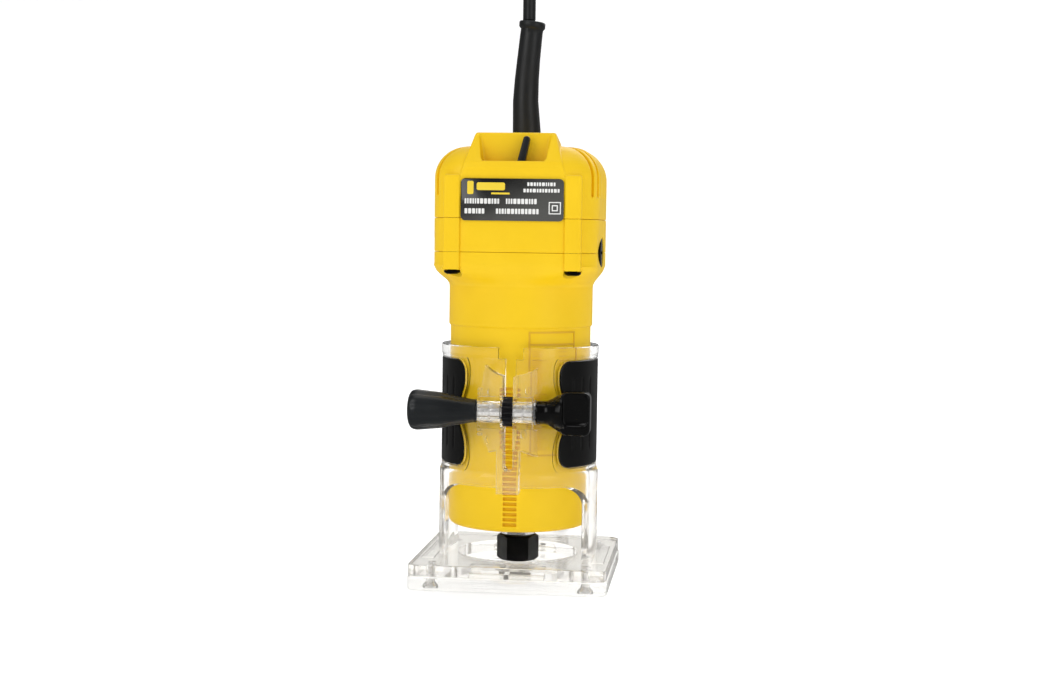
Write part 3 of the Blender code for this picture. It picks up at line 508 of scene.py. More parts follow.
def moulded_plastic(name, dark, light, roughness, grain=2600.0, grain_depth=0.02, waves=0.05, specular=0.5,
                    sheen=0.0):
    """Moulded plastic: a fine spark-eroded grain, faint sink waves and uneven gloss."""
    n = Nodes(name, light, sum(roughness) / 2)
    n.vary_colour(n.noise(38.0, 4.0), dark, light)
    n.vary_roughness(120.0, 5.0, *roughness)
    soft = n.bump(n.noise(55.0, 2.0), 0.25, waves)
    n.bump(n.noise(grain, 2.0), 0.5, grain_depth, soft)
    n.set("Specular IOR Level", specular)
    n.set("Sheen Weight", sheen)
    return n.material


def clear_plastic():
    """Polished transparent plastic that lets lamps through to what it covers, cloudier where it is thick."""
    n = Nodes("clear_plastic", (0.992, 0.985, 0.965), 0.03)
    n.set("Transmission Weight", 1.0)
    n.set("IOR", 1.38)
    n.vary_roughness(90.0, 4.0, 0.02, 0.09)
    soft = n.bump(n.noise(34.0, 2.0), 0.22, 0.12)
    n.bump(n.noise(420.0, 2.0), 0.12, 0.01, soft)
    place = n.new("ShaderNodeSeparateXYZ")
    n.link(n.where, place.inputs["Vector"])
    y, z = place.outputs["Y"], place.outputs["Z"]
    below = n.spread(z, PLATE_CLOUD, LEG_CLOUD, PLATE_TOP * MM, (PLATE_TOP + 3) * MM)
    sleeve = n.spread(z, 0.0, LEG_CLOUD, 44.0 * MM, 54.0 * MM)
    legs = n.maths("SUBTRACT", below, sleeve)
    ears = n.spread(y, EAR_CLOUD, 0.0, -38.2 * MM, -37.0 * MM)
    ears = n.maths("MULTIPLY", ears, n.spread(z, 0.0, 1.0, 44.0 * MM, 46.0 * MM))
    level_with_shaft = n.maths("COMPARE", z, SHAFT_Z * MM, BOSS_HALF * MM)
    ears = n.maths("MULTIPLY", ears, n.spread(level_with_shaft, 1.0, 0.25, 0.0, 1.0))
    cloud = n.maths("MULTIPLY", n.maths("ADD", legs, ears), n.spread(n.noise(70.0, 4.0), 0.6, 1.3))
    milk = (0.93, 0.91, 0.87)
    haze = mixed(n.tree, None, n.lobe("ShaderNodeBsdfDiffuse", milk),
                 n.lobe("ShaderNodeBsdfTranslucent", milk))
    body = mixed(n.tree, cloud, n.shader.outputs["BSDF"], haze)
    path = n.new("ShaderNodeLightPath")
    see_through = n.lobe("ShaderNodeBsdfTransparent", (0.97, 0.968, 0.96))
    surface = mixed(n.tree, path.outputs["Is Shadow Ray"], body, see_through)
    n.link(surface, n.output.inputs["Surface"])
    return n.material


def label_face_painted_sheen():
    """A black printed foil with a painted reflection: its base colour greys towards one lower corner, in
    place of the sheen a bowed label would catch.
    """
    n = Nodes("label_face_painted_sheen", (0.01, 0.01, 0.01), 0.16)
    reflection_slant = n.new("ShaderNodeVectorMath", operation="DOT_PRODUCT")
    n.link(n.where, reflection_slant.inputs[0])
    reflection_slant.inputs[1].default_value = (0.5, 0.0, -1.0)
    cloud = n.maths("MULTIPLY_ADD", n.noise(45.0, 3.0), 0.02, reflection_slant.outputs["Value"])
    # Painted reflection: the ramp greys the base colour from one upper corner towards the lower corner.
    ramp = n.vary_colour(n.spread(cloud, 0.0, 1.0, -0.186, -0.150), (0.004, 0.004, 0.004),
                         (0.085, 0.085, 0.08), 0.1, 0.95)
    ramp.color_ramp.interpolation = "EASE"
    n.vary_roughness(120.0, 5.0, 0.1, 0.2)
    n.bump(n.noise(55.0, 2.0), 0.2, 0.02)
    n.set("Coat Weight", 0.6)
    n.set("Coat Roughness", 0.06)
    return n.material


def metal(name, dark, light, roughness, stretch=(1.0, 1.0, 14.0), scale=260.0):
    """Turned metal: fine rings, stains and uneven polish."""
    n = Nodes(name, light, sum(roughness) / 2, 1.0)
    n.vary_colour(n.noise(60.0, 4.0), dark, light)
    n.vary_roughness(150.0, 5.0, *roughness)
    n.bump(n.noise(scale, 3.0, 0.6, stretch), 0.3, 0.02)
    return n.material


PLATE_CLOUD, LEG_CLOUD, EAR_CLOUD = 0.1, 0.06, 0.13
YELLOW = moulded_plastic("yellow_plastic", (0.895, 0.572, 0.003), (0.925, 0.600, 0.005), (0.38, 0.5),
                         specular=0.3)
# Painted shade: the marks' darker yellow stands in for the shadow lines along the raised frame and
# graduations.
MARKS_PAINTED_SHADE = moulded_plastic("raised_marks_painted_shade", (0.72, 0.40, 0.002), (0.80, 0.46, 0.003), (0.4, 0.52))
BLACK = moulded_plastic("black_plastic", (0.007, 0.0088, 0.0105), (0.01, 0.0125, 0.0145), (0.3, 0.42), 1900.0)
GRIP = moulded_plastic("grip_rubber", (0.002, 0.002, 0.0018), (0.004, 0.004, 0.0036), (0.32, 0.44),
                       1500.0, 0.03, specular=0.32)
CORD = moulded_plastic("cord_jacket", (0.008, 0.009, 0.01), (0.012, 0.013, 0.014), (0.38, 0.5), 1300.0, 0.03)
GLOSS = moulded_plastic("gloss_black", (0.001, 0.001, 0.001), (0.002, 0.002, 0.002), (0.14, 0.24),
                        1500.0, 0.012, specular=0.3)
PINION = moulded_plastic("pinion_plastic", (0.008, 0.008, 0.01), (0.013, 0.013, 0.015), (0.3, 0.42), 1500.0)
CLEAR = clear_plastic()
STEEL = metal("turned_steel", (0.56, 0.56, 0.57), (0.78, 0.78, 0.79), (0.16, 0.3))
OXIDE = metal("black_oxide", (0.006, 0.006, 0.006), (0.014, 0.014, 0.014), (0.3, 0.48))
COPPER = metal("enamelled_copper", (0.5, 0.2, 0.09), (0.76, 0.36, 0.18), (0.25, 0.4), (1, 1, 1), 900.0)
BRASS = metal("brass", (0.62, 0.46, 0.18), (0.83, 0.66, 0.32), (0.2, 0.34))
CARBON = moulded_plastic("carbon", (0.03, 0.03, 0.032), (0.06, 0.06, 0.062), (0.5, 0.7), 900.0, 0.05)
LABEL = label_face_painted_sheen()
WHITE_INK = moulded_plastic("white_ink", (0.78, 0.78, 0.76), (0.86, 0.86, 0.84), (0.3, 0.4),
                            900.0, 0.004, 0.01)
YELLOW_INK = moulded_plastic("yellow_ink", (0.86, 0.62, 0.03), (0.92, 0.68, 0.05), (0.3, 0.4),
                             900.0, 0.004, 0.01)
STRAP = moulded_plastic("strap_weave", (0.01, 0.01, 0.011), (0.03, 0.03, 0.032), (0.75, 0.9),
                        1700.0, 0.25, sheen=0.4)


# ---------------------------------------------------------------- cord, hank and plug

# The cord's route: across the hank's line, along it and up.
CORD_ROUTE = [
    (2.06, 17.88, 259.9), (2.06, 17.9, 266.0), (2.06, 18.4, 273.0), (2.07, 20.8, 281.5), (2.1, 26.2, 290.0),
    (2.1, 35.4, 297.2), (2.15, 48.0, 300.6), (2.2, 62.0, 299.6), (2.2, 74.6, 294.2), (2.25, 84.6, 285.0),
    (2.3, 90.4, 273.0), (2.3, 92.8, 258.0), (2.35, 93.4, 232.0), (2.6, 93.2, 204.0), (4.2, 92.8, 175.0),
    (7.4, 92.4, 146.0), (11.6, 92.2, 117.0), (16.0, 92.2, 88.0), (20.0, 92.8, 62.0), (22.6, 95.0, 42.0),
    (23.8, 100.0, 25.0), (24.0, 108.2, 12.2), (24.0, 118.0, 6.0), (24.0, 127.0, 4.3), (24.0, 134.4, 4.3),
]
HANK_NEAR = 125.0
HANK_LENGTH = 117.0
TIE_MIDDLE = HANK_NEAR + 56.0
HANK_HALF_WIDTH = 27.0
FOLD_OUTER, FOLD_INNER = 24.0, 18.0
LAYERS = (4.3, 10.3, 16.3)
PLUG_REAR = HANK_NEAR + 68.0
PLUG_HALF_THICK = 6.8
PLUG_Z = 19.6 + PLUG_HALF_THICK


def along_hank(point):
    c, s = math.cos(HANK_TURN), math.sin(HANK_TURN)
    u, v, z = point
    return Vector((u * c - v * s, u * s + v * c, z))


def hank_route():
    """The turns of the hank: two runs side by side in each of three layers, then up to the plug."""
    near, far = HANK_NEAR + HANK_HALF_WIDTH, HANK_NEAR + HANK_LENGTH - HANK_HALF_WIDTH
    points = []
    steps = 10
    for layer, z in enumerate(LAYERS):
        for radius in (FOLD_OUTER, FOLD_INNER):
            last = layer == len(LAYERS) - 1 and radius == FOLD_INNER
            points += [(radius, near + (far - near) * i / 4, z) for i in range(4)]
            points += [(x, y, z) for x, y in arc(0, far, radius, 0, 180, steps)]
            points += [(-radius, far + (near - far) * i / 4, z) for i in range(1, 4)]
            end = FOLD_INNER if radius == FOLD_OUTER else FOLD_OUTER
            climb = 0.0 if radius == FOLD_OUTER else 2 * CORD_R
            if last:
                end = radius
            for i in range(steps + 1):
                share = i / steps
                turn = math.pi * (1 + share)
                reach = radius + (end - radius) * share
                lift = climb * min(1.0, share / 0.35)
                points.append((reach * math.cos(turn), near + reach * math.sin(turn), z + lift))
            points.pop()
    top = LAYERS[-1] + 2 * CORD_R
    points += [(FOLD_INNER, near, top), (17.2, near + 7, top + 0.5), (13.6, near + 16, top + 1.6),
               (8.2, near + 25, top + 2.9), (3.6, near + 33, PLUG_Z - 0.5), (0.9, PLUG_REAR - 1.5, PLUG_Z),
               (0.1, PLUG_REAR + 5.0, PLUG_Z), (0.0, PLUG_REAR + 10.0, PLUG_Z)]
    return points


def smooth_route(points, step):
    """Points at even steps on a Catmull-Rom curve through the route."""
    knots = [along_hank(point) for point in points]
    knots = [2 * knots[0] - knots[1]] + knots + [2 * knots[-1] - knots[-2]]
    fine = []
    for a, b, c, d in zip(knots, knots[1:], knots[2:], knots[3:]):
        for i in range(16):
            t = i / 16
            fine.append(0.5 * (2 * b + (c - a) * t + (2 * a - 5 * b + 4 * c - d) * t ** 2
                               + (3 * b - a - 3 * c + d) * t ** 3))
    fine.append(knots[-2])
    lengths = [0.0]
    for a, b in zip(fine, fine[1:]):
        lengths.append(lengths[-1] + (b - a).length)
    count = round(lengths[-1] / step)
    even, j = [], 1
    for i in range(count + 1):
        goal = lengths[-1] * i / count
        while lengths[j] < goal - 1e-9:
            j += 1
        share = (goal - lengths[j - 1]) / max(lengths[j] - lengths[j - 1], 1e-9)
        even.append(fine[j - 1].lerp(fine[j], share))
    return even


def sweep(path, radius_at, sides):
    """A tube along a path. radius_at(t) gives the radius at an angle round it."""
    loops = []
    normal = None
    for i, point in enumerate(path):
        ahead = (path[min(i + 1, len(path) - 1)] - path[max(i - 1, 0)]).normalized()
        if normal is None:
            normal = ahead.orthogonal().normalized()
        normal = (normal - ahead * normal.dot(ahead)).normalized()
        side = ahead.cross(normal)
        loop = []
        for k in range(sides):
            t = math.tau * k / sides
            loop.append(point + (normal * math.cos(t) + side * math.sin(t)) * radius_at(t))
        loops.append(loop)
    return loft(loops)


def make_cord():
    path = smooth_route(CORD_ROUTE + hank_route(), 3.0)
    groove = 0.32

    def jacket(t):
        """Round, with a shallow groove on each side where the two cores part."""
        return CORD_R - groove * abs(math.cos(t)) ** 12

    obj = to_object("cord", sweep(path, jacket, 20), CORD, 80.0)
    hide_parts("power_cord", "cord_hank")
    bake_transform(obj)
    return obj, path


def make_plug():
    front = PLUG_REAR + 40.0
    stations = [(0.0, 3.6, 3.6), (0.3, 4.4, 4.2), (5.0, 5.2, 4.7), (9.0, 6.1, 5.0), (12.0, 8.0, 5.6),
                (15.0, 11.6, 6.2), (18.5, 15.2, 6.6), (22.0, 17.2, 6.8), (26.0, 17.7, 6.8), (38.8, 17.7, 6.8),
                (39.7, 17.3, 6.4), (40.0, 16.7, 5.9)]
    loops = []
    for along, wide, thick in stations:
        corner = min(thick * 0.92, 5.2)
        outline = rounded_outline(wide, thick, corner, 6)
        loops.append([along_hank((x, PLUG_REAR + along, PLUG_Z + z)) for x, z in outline])
    body = to_object("plug", loft(loops), CORD, 50.0)
    piece(body, "base", "plug_body", slot="cord_rubber")
    pins = []
    for number, x in ((1, -9.5), (2, 9.5)):
        metal_part = [(2.2, 8.8), (2.2, 17.0), (1.9, 18.4), (1.0, 19.0), (0, 19.0)]
        pin = turned(lathe([(0, 0.0), (2.2, 0.0)] + metal_part, 32), -math.pi / 2, "X")
        turned(shifted(pin, (x, front + 0.3, PLUG_Z)), HANK_TURN)
        obj = to_object("pin_%d" % number, pin, BRASS)
        piece(obj, "base", "plug_pin_%d" % number, slot="brass")
        profile = rounded([(2.22, 0.0), (2.5, 0.0), (2.5, 9.5), (2.22, 9.5)], 0.15)
        collar = turned(lathe(profile, 32), -math.pi / 2, "X")
        turned(shifted(collar, (x, front + 0.1, PLUG_Z)), HANK_TURN)
        sleeve = to_object("pin_sleeve_%d" % number, collar, BLACK)
        pins += [obj, piece(sleeve, "base", slot="black_plastic")]
    return [body] + pins


def make_tie():
    """The strap round the hank: a flat band with softened edges that follows the hank's rounded section."""
    middle = TIE_MIDDLE
    wide, top, base_z = HANK_HALF_WIDTH + 0.35, LAYERS[-1] + CORD_R + 0.35, 0.95
    centre_z = (top + base_z) / 2
    outline = rounded_outline(wide, (top - base_z) / 2, 4.0, 8, (0.0, centre_z))
    loops = []
    for side, lift in ((-6.0, 0.0), (-5.6, 0.85), (5.6, 0.85), (6.0, 0.0)):
        grown = rounded_outline(wide + lift, (top - base_z) / 2 + lift, 4.0 + lift, 8, (0.0, centre_z))
        loops.append([along_hank((x, middle + side, z)) for x, z in grown])
    loops += [[along_hank((x, middle + side, z)) for x, z in outline] for side in (6.0, -6.0)]
    bm = loft(loops, caps=False)
    bmesh.ops.remove_doubles(bm, verts=bm.verts, dist=0.01)
    bmesh.ops.recalc_face_normals(bm, faces=bm.faces)
    obj = to_object("strap", bm, STRAP, 60.0)
    piece(obj, "base", "hank_tie", slot="tie")
    return obj


cord_piece, cord_path = make_cord()
plug_pieces = make_plug()
strap_piece = make_tie()


# ---------------------------------------------------------------- yellow shells

def pads(z0, z1, round_top=False):
    """The pads over the four long screws, with rounded tops on the cap."""
    shapes = []
    half_width, depth, corner, round_over = 3.7, 7.0, 0.8, 0.9
    for x, y in at_corners(SCREW_X, SCREW_Y):
        sign = math.copysign(1, y)
        centre_y = sign * (PAD_FRONT - depth / 2)
        outline = rounded_outline(half_width, depth / 2, corner, 4, (x, centre_y))
        loops = [[(a, b, z0) for a, b in outline]]
        if round_top:
            for i in range(5):
                turn = math.pi / 2 * i / 4
                inset = round_over * (1 - math.cos(turn))
                top = rounded_outline(half_width - inset, depth / 2 - inset, max(corner - inset, 0.2), 4,
                                      (x, centre_y))
                loops.append([(a, b, z1 - round_over + round_over * math.sin(turn)) for a, b in top])
        else:
            loops.append([(a, b, z1) for a, b in outline])
        shapes.append(loft(loops))
    return join(*shapes)


def brush_holes():
    return join(*[drum(BRUSH_CAP_R + 0.3, *span, 64, "X", (0, 0, BRUSH_Z))
                  for span in ((31.0, 45.0), (-45.0, -31.0))])


def brush_scoops():
    """A shallow trough in front of each brush cover, which lets its side be seen and reached."""
    depth, half_height = 1.5, 7.4
    radius = (half_height ** 2 + depth ** 2) / (2 * depth)
    across = CAP_HALF - depth + radius
    troughs = []
    for sign in (-1, 1):
        trough = turned(drum(radius, 0.4, 24.0, 96), math.pi / 2, "X")
        troughs.append(shifted(trough, (sign * across, 0.0, BRUSH_Z)))
    return join(*troughs)


def make_housing():
    """The barrel and its flange, with the rack, the air outlets and the ways through for the screws."""
    outside = [section(r, r, z) for r, z in (
        (26.0, BARREL_BOTTOM), (29.6, BARREL_BOTTOM), (30.9, BARREL_BOTTOM + 0.35),
        (31.8, BARREL_BOTTOM + 1.0), (32.3, BARREL_BOTTOM + 1.9), (BARREL_R, BARREL_BOTTOM + 3.0),
        (BARREL_R, STEP_Z - 0.6), (BARREL_R + 0.15, STEP_Z - 0.25), (SHOULDER_R - 0.15, STEP_Z + 0.25),
        (SHOULDER_R, STEP_Z + 0.6), (SHOULDER_R, FLARE_Z - 1.0))]
    flare = ((33.4, 33.1, FLARE_Z), (33.9, 31.0, FLARE_Z + 1.4), (34.8, 27.0, FLARE_Z + 2.9),
             (35.8, 22.5, FLARE_Z + 4.5), (36.6, 19.0, FLARE_Z + 6.0), (37.1, 17.2, FLANGE_Z + 0.6),
             (37.4, 16.2, FLANGE_Z + 1.8), (CAP_HALF, CAP_CORNER, FLANGE_Z + 3.0))
    outside += [section(*level) for level in flare]
    outside += edge_fillet(CAP_HALF, CAP_CORNER, RING_Z - SEAM, -1)
    obj = to_object("housing", loft(outside), YELLOW)
    add(obj, pads(FLANGE_Z, RING_Z - SEAM))
    cut(obj, brush_holes(), brush_scoops())
    cut(obj, join(*[drum(4.3, FLARE_Z - 8, FLANGE_Z - 0.1, 40, "Z", (x, y, 0))
                    for x, y in at_corners(SCREW_X, SCREW_Y)]))
    grooves = []
    # The rack: a groove at every pitch, from below the shaft's height to above it.
    for k in range(-22, 5):
        z = SHAFT_Z + k * PITCH
        outline = [(-34.0, z - 1.15), (-34.0, z + 1.15), (-30.75, z + 0.5), (-30.75, z - 0.5)]
        grooves.append(soften(prism(outline, -3.1, 3.1, "X"), 0.18, 2))
    cut(obj, join(*grooves))
    hollow = lathe([(0, 20), (9.5, 20), (9.5, 29.6), (13.4, 29.6), (13.4, 45.0), (0, 45.0)], 64)
    vents = [turned(soften(box((20.5, -2.0, 20.0), (27.5, 2.0, 33.0)), 0.8, 3), math.tau * (k + 0.5) / 8)
             for k in range(8)]
    cut(obj, hollow, join(*vents))
    piece(even_shading(obj), "motor", "motor_housing", slot="yellow_shell")


def rib(a0, a1, z0, z1, height=0.24):
    """A raised line on the barrel, between two angles from the front and two heights."""
    inner, outer = BARREL_R - 0.2, BARREL_R + height
    steps = max(1, round((a1 - a0) / 2))
    outline = arc(0, 0, outer, a0 - 90, a1 - 90, steps) + arc(0, 0, inner, a1 - 90, a0 - 90, steps)
    return prism(outline, z0, z1)


def make_scale():
    """Depth marks right of the rack: a ruled frame with an empty heading, and plain graduations, in a darker
    yellow that is painted shade.
    """
    left, right = 13.3, 55.5
    top, heading, bottom = 116.0, 110.6, 60.0
    line, thin = 0.8, 0.22
    first_mark, mark_count = 63.0, 45
    line_angle = math.degrees(line / BARREL_R)
    ribs = [rib(left, right, top - line, top), rib(left, right, heading - line, heading),
            rib(left, right, bottom, bottom + line), rib(left, left + line_angle, bottom, top),
            rib(right - line_angle, right, bottom, top)]
    middle = 35.5
    for i in range(mark_count):
        z = first_mark + i
        reach = 12.0 if i % 5 == 0 else 7.5
        ribs.append(rib(left + 3.0, left + 3.0 + reach, z, z + thin))
        if i % 2 == 0:
            ribs.append(rib(middle + 2.5, middle + 2.5 + (11.0 if i % 8 == 0 else 7.0), z, z + thin))
    obj = to_object("depth_marks", join(*ribs), MARKS_PAINTED_SHADE)
    piece(obj, "motor", slot="yellow_shell")


def make_ring():
    """The ring between the flange and the cap."""
    loops = edge_fillet(CAP_HALF, CAP_CORNER, RING_Z, 1) + edge_fillet(CAP_HALF, CAP_CORNER, CAP_Z - SEAM, -1)
    obj = to_object("ring", loft(loops), YELLOW)
    add(obj, pads(RING_Z, CAP_Z - SEAM))
    cut(obj, brush_holes(), brush_scoops())
    piece(even_shading(obj), "motor", "middle_ring", slot="yellow_shell")


def hood_block():
    """The guard round the lever before it is hollowed: narrower at its crest than at its foot."""
    foot_half, crest_half, foot_z = 23.3, 17.9, 186.0
    front = -CAP_HALF
    outline = [(front, 176.0), (front, 188.5), (front + 0.7, 191.2), (-29.2, HOOD_TOP - 0.7),
               (-27.9, HOOD_TOP), (-25.6, HOOD_TOP), (-12.0, 198.9), (-12.0, 176.0)]
    bm = prism(outline, -1.0, 1.0, "X")
    for vert in bm.verts:
        rise = (vert.co.z - foot_z) / (HOOD_TOP - foot_z)
        vert.co.x *= foot_half + (crest_half - foot_half) * rise
    return soften(bm, 1.3, 4, 25.0)


def hood_pocket():
    """The hollow behind the guard's front wall, wider at the top, in which the lever stands."""
    front = -36.35
    loops = [[(-half, front, z), (half, front, z), (half, back, z), (-half, back, z)]
             for half, back, z in ((13.6, -28.8, 187.0), (17.9, -28.6, 214.0))]
    return soften(loft(loops), 1.2, 3)


def shoulder_flutes():
    """Radial flutes that run down over the shoulders."""
    bars = []
    for side in (0.0, math.pi):
        for degrees in (-39.5, -33.0, -26.0, -13.0, 0.0, 13.0, 26.0, 33.0, 39.5):
            bar = soften(box((20.0, -1.0, 176.2), (60.0, 1.0, 200.0)), 0.7, 3)
            bars.append(turned(bar, side + math.radians(degrees)))
    tool = to_object("flutes", join(*bars))
    depth = 1.9
    core = [section(CAP_HALF - depth, CAP_CORNER - depth, CAP_Z - 5)]
    core += dome_sections(CAP_HALF - depth, CAP_CORNER - depth, DOME_Z, DOME_RISE - depth, DOME_RUN,
                          CROWN_Z - depth, 8)
    return cut(tool, loft(core))


def make_cap():
    """The domed cap with the guard, the flutes, the vents behind and the seat for the boot."""
    outside = edge_fillet(CAP_HALF, CAP_CORNER, CAP_Z, 1)
    outside += dome_sections(CAP_HALF, CAP_CORNER, DOME_Z, DOME_RISE, DOME_RUN, CROWN_Z)
    obj = to_object("cap", loft(outside), YELLOW)
    add(obj, hood_block(), pads(CAP_Z, PAD_TOP, True))
    cut(obj, shoulder_flutes(), hood_pocket())
    cut(obj, box((LEVER_X - 5.4, LEVER_Y - 2.6, 176.0), (LEVER_X + 5.4, LEVER_Y + 2.6, 190.0)))
    cut(obj, drum(6.9, 185.0, 210.0, 64, "Z", (-0.4, RELIEF_Y, 0)))
    slots = [soften(box((x - 1.1, 33.0, 174.0), (x + 1.1, 42.0, 184.0)), 0.7, 3) for x in range(-15, 16, 6)]
    cut(obj, join(*slots))
    moulded(obj, 0.38, 2)
    piece(obj, "motor", "top_cap", slot="yellow_shell")


make_housing()
make_scale()
make_ring()
make_cap()


# ---------------------------------------------------------------- rating plate

INK = 0.04


def make_label():
    """The rating plate: blocks and rows of short strokes instead of words, and the double square."""
    plate = low("rating_plate"), high("rating_plate")
    half_x, half_z = (plate[1].x - plate[0].x) / 2, (plate[1].z - plate[0].z) / 2
    middle = (plate[0].z + plate[1].z) / 2
    face_y = plate[0].y
    outline = rounded_outline(half_x, half_z, 2.0, 10, (0.0, middle))
    bm = prism(outline, face_y, plate[1].y, "Y")
    obj = to_object("label", soften(bm, 0.16, 2), LABEL)
    piece(obj, "motor", "rating_plate", slot="label")

    def marks(name, shapes, ink):
        piece(to_object(name, join(*shapes), ink), "motor", slot="label")

    def bar(x, z, width, height):
        outline = rounded_outline(width / 2, height / 2, min(width, height) * 0.22, 3, (x, z))
        return prism(outline, face_y - INK, face_y + 0.05, "Y")

    random.seed(4)
    white = []
    rows = ((-0.7, -21.1, -5.7, 2.3), (-0.7, -2.7, 11.1, 2.3), (-5.1, -21.1, -11.5, 2.3),
            (-5.1, -7.1, 12.2, 2.3), (6.9, 6.7, 19.9, 1.6), (4.1, 5.0, 21.4, 1.6))
    for rise, start, end, height in rows:
        x = start
        while x < end - 0.4:
            width = min(random.uniform(0.55, 1.5), end - x)
            white.append(bar(x + width / 2, middle + rise, width, height))
            x += width + 0.38
    x, z = 19.0, middle - 3.5
    for outer, inner in ((2.7, 2.25), (1.35, 0.85)):
        square = prism(rounded_outline(outer, outer, 0.2, 2, (x, z)), face_y - INK, face_y + 0.05, "Y")
        tool = to_object("frame", square)
        cut(tool, box((x - inner, face_y - 1, z - inner), (x + inner, face_y + 1, z + inner)))
        white.append(take_back(tool))
    marks("label_lines", white, WHITE_INK)
    yellow = [bar(-18.6, middle + 5.2, 2.8, 5.8), bar(-9.5, middle + 5.8, 12.6, 3.4),
              bar(-5.2, middle + 2.7, 8.2, 0.8)]
    marks("label_blocks", yellow, YELLOW_INK)


make_label()


# ---------------------------------------------------------------- clear base

GRIP_LOW, GRIP_HIGH = low("left_grip").z, high("left_grip").z
GRIP_IN, GRIP_OUT = 34.5, 36.2


def grip_reach(z):
    """Half the angle, in degrees, that a grip spans at a height: narrow at its waist, rounded at its ends."""
    middle, half_height = (GRIP_LOW + GRIP_HIGH) / 2, (GRIP_HIGH - GRIP_LOW) / 2
    from_middle = abs(z - middle) / half_height
    waist = 46.5 + 6.8 * math.sin(math.pi / 2 * min(1.0, from_middle / 0.62)) ** 2
    past = max(0.0, (from_middle - 0.74) / 0.26)
    return waist - 9.5 * (1 - math.sqrt(max(0.0, 1 - past * past)))


def grip_patch(side, inner, outer, margin, rows=28, columns=32):
    """A thick patch of a cylinder in the outline of a grip, grown by a margin."""
    spread = math.degrees(margin / inner)
    middle = 0.0 if side > 0 else 180.0
    loops = []
    for i in range(rows + 1):
        t = 0.5 - 0.5 * math.cos(math.pi * i / rows)
        z = GRIP_LOW - margin + (GRIP_HIGH - GRIP_LOW + 2 * margin) * t
        reach = grip_reach(GRIP_LOW + (GRIP_HIGH - GRIP_LOW) * t) + spread
        loop = arc(0, 0, outer, middle - reach, middle + reach, columns)
        loop += arc(0, 0, inner, middle + reach, middle - reach, columns)
        loops.append([(x, y, z) for x, y in loop])
    return loft(loops)


def make_grip(side, name):
    """A rubber pad with a rolled edge and three upright grooves towards each end."""
    rows, columns = 90, 120
    middle = 0.0 if side > 0 else 180.0
    roll = 0.8
    grooves = (-41.0, -31.0, -21.0, 21.0, 31.0, 41.0)

    def surface(s, t):
        z = GRIP_LOW + (GRIP_HIGH - GRIP_LOW) * t
        reach = grip_reach(z)
        angle = s * reach
        edge_side = (reach - abs(angle)) * math.pi / 180 * GRIP_OUT
        edge_end = min(z - GRIP_LOW, GRIP_HIGH - z)
        gap = min(edge_side, edge_end)
        drop = roll - math.sqrt(max(0.0, roll * roll - max(0.0, roll - gap) ** 2))
        for groove in grooves:
            off = (angle - groove) * math.pi / 180 * GRIP_OUT
            drop += 0.42 * clamp((edge_end - 7.0) / 2.0) * math.exp(-(off / 0.42) ** 2)
        radius = GRIP_OUT - drop
        a = math.radians(middle + angle)
        return Vector((radius * math.cos(a), radius * math.sin(a), z))

    bm = bmesh.new()
    grid = []
    for i in range(rows + 1):
        t = i / rows
        t -= 0.06 * math.sin(math.tau * t)
        grid.append([bm.verts.new(surface(-1 + 2 * j / columns, t)) for j in range(columns + 1)])

    def behind(vert):
        flat = vert.co.xy.normalized() * GRIP_IN
        return bm.verts.new((flat.x, flat.y, vert.co.z))

    under = [(behind(row[0]), behind(row[-1])) for row in grid]
    for i in range(rows):
        for j in range(columns):
            bm.faces.new((grid[i][j], grid[i][j + 1], grid[i + 1][j + 1], grid[i + 1][j]))
        bm.faces.new((grid[i][0], grid[i + 1][0], under[i + 1][0], under[i][0]))
        bm.faces.new((grid[i][-1], under[i][1], under[i + 1][1], grid[i + 1][-1]))
    for i in (0, rows):
        back = [under[i][0], *[behind(vert) for vert in grid[i][1:-1]], under[i][1]]
        for j in range(columns):
            bm.faces.new((grid[i][j], back[j], back[j + 1], grid[i][j + 1]))
    bmesh.ops.recalc_face_normals(bm, faces=bm.faces)
    obj = to_object(name, bm, GRIP, 50.0)
    piece(obj, "base", "left_grip" if side < 0 else "right_grip", slot="rubber")


EAR_FRONT, EAR_SIDE_FRONT, EAR_REACH = -44.4, -38.6, 13.1
SLOT_HALF = 2.3


def ear_face(x):
    """How far forward an ear reaches: most at the slot, and less towards its outer side."""
    share = max(0.0, (abs(x) - SLOT_HALF) / (EAR_REACH - SLOT_HALF))
    return EAR_FRONT + (EAR_SIDE_FRONT - EAR_FRONT) * share


def make_ears():
    """Two ears either side of the slot, taller at their outer sides, with a square boss round the shaft."""
    left = [(-SLOT_HALF, 64.0), (-SLOT_HALF, 96.7), (-5.0, 97.4), (-8.0, 98.9), (-10.9, 101.1),
            (-EAR_REACH, 89.0), (-EAR_REACH, 71.8), (-8.6, 62.5)]
    right = [(SLOT_HALF, 64.4), (SLOT_HALF, 96.5), (5.5, 97.2), (9.0, 98.4), (12.2, 100.2), (12.8, 60.8)]
    back = -31.0
    ears = to_object("ears", join(prism(left, -60.0, back, "Y"), prism(right, -60.0, back, "Y")))
    plan = [(-20.0, -20.0), (-20.0, EAR_SIDE_FRONT), (-EAR_REACH, EAR_SIDE_FRONT), (-SLOT_HALF, EAR_FRONT),
            (SLOT_HALF, EAR_FRONT), (EAR_REACH, EAR_SIDE_FRONT), (20.0, EAR_SIDE_FRONT), (20.0, -20.0)]
    combine(ears, "INTERSECT", prism(plan, 40.0, 120.0))
    cut(ears, box((BOSS_RIGHT, -50.0, SHAFT_Z - 8.2), (20.0, -10.0, SHAFT_Z + 8.2)))
    add(ears, box((BOSS_LEFT, EAR_FRONT, SHAFT_Z - BOSS_HALF), (BOSS_RIGHT, back, SHAFT_Z + BOSS_HALF)))
    add(ears, box((-5.0, -43.0, 44.2), (5.0, back, 66.0)))
    pegs = [box((-13.9, -40.6, SHAFT_Z + rise), (-11.8, -37.0, SHAFT_Z + rise + 1.1))
            for rise in (-10.6, -8.6, 7.6, 9.4)]
    return add(ears, *pegs)


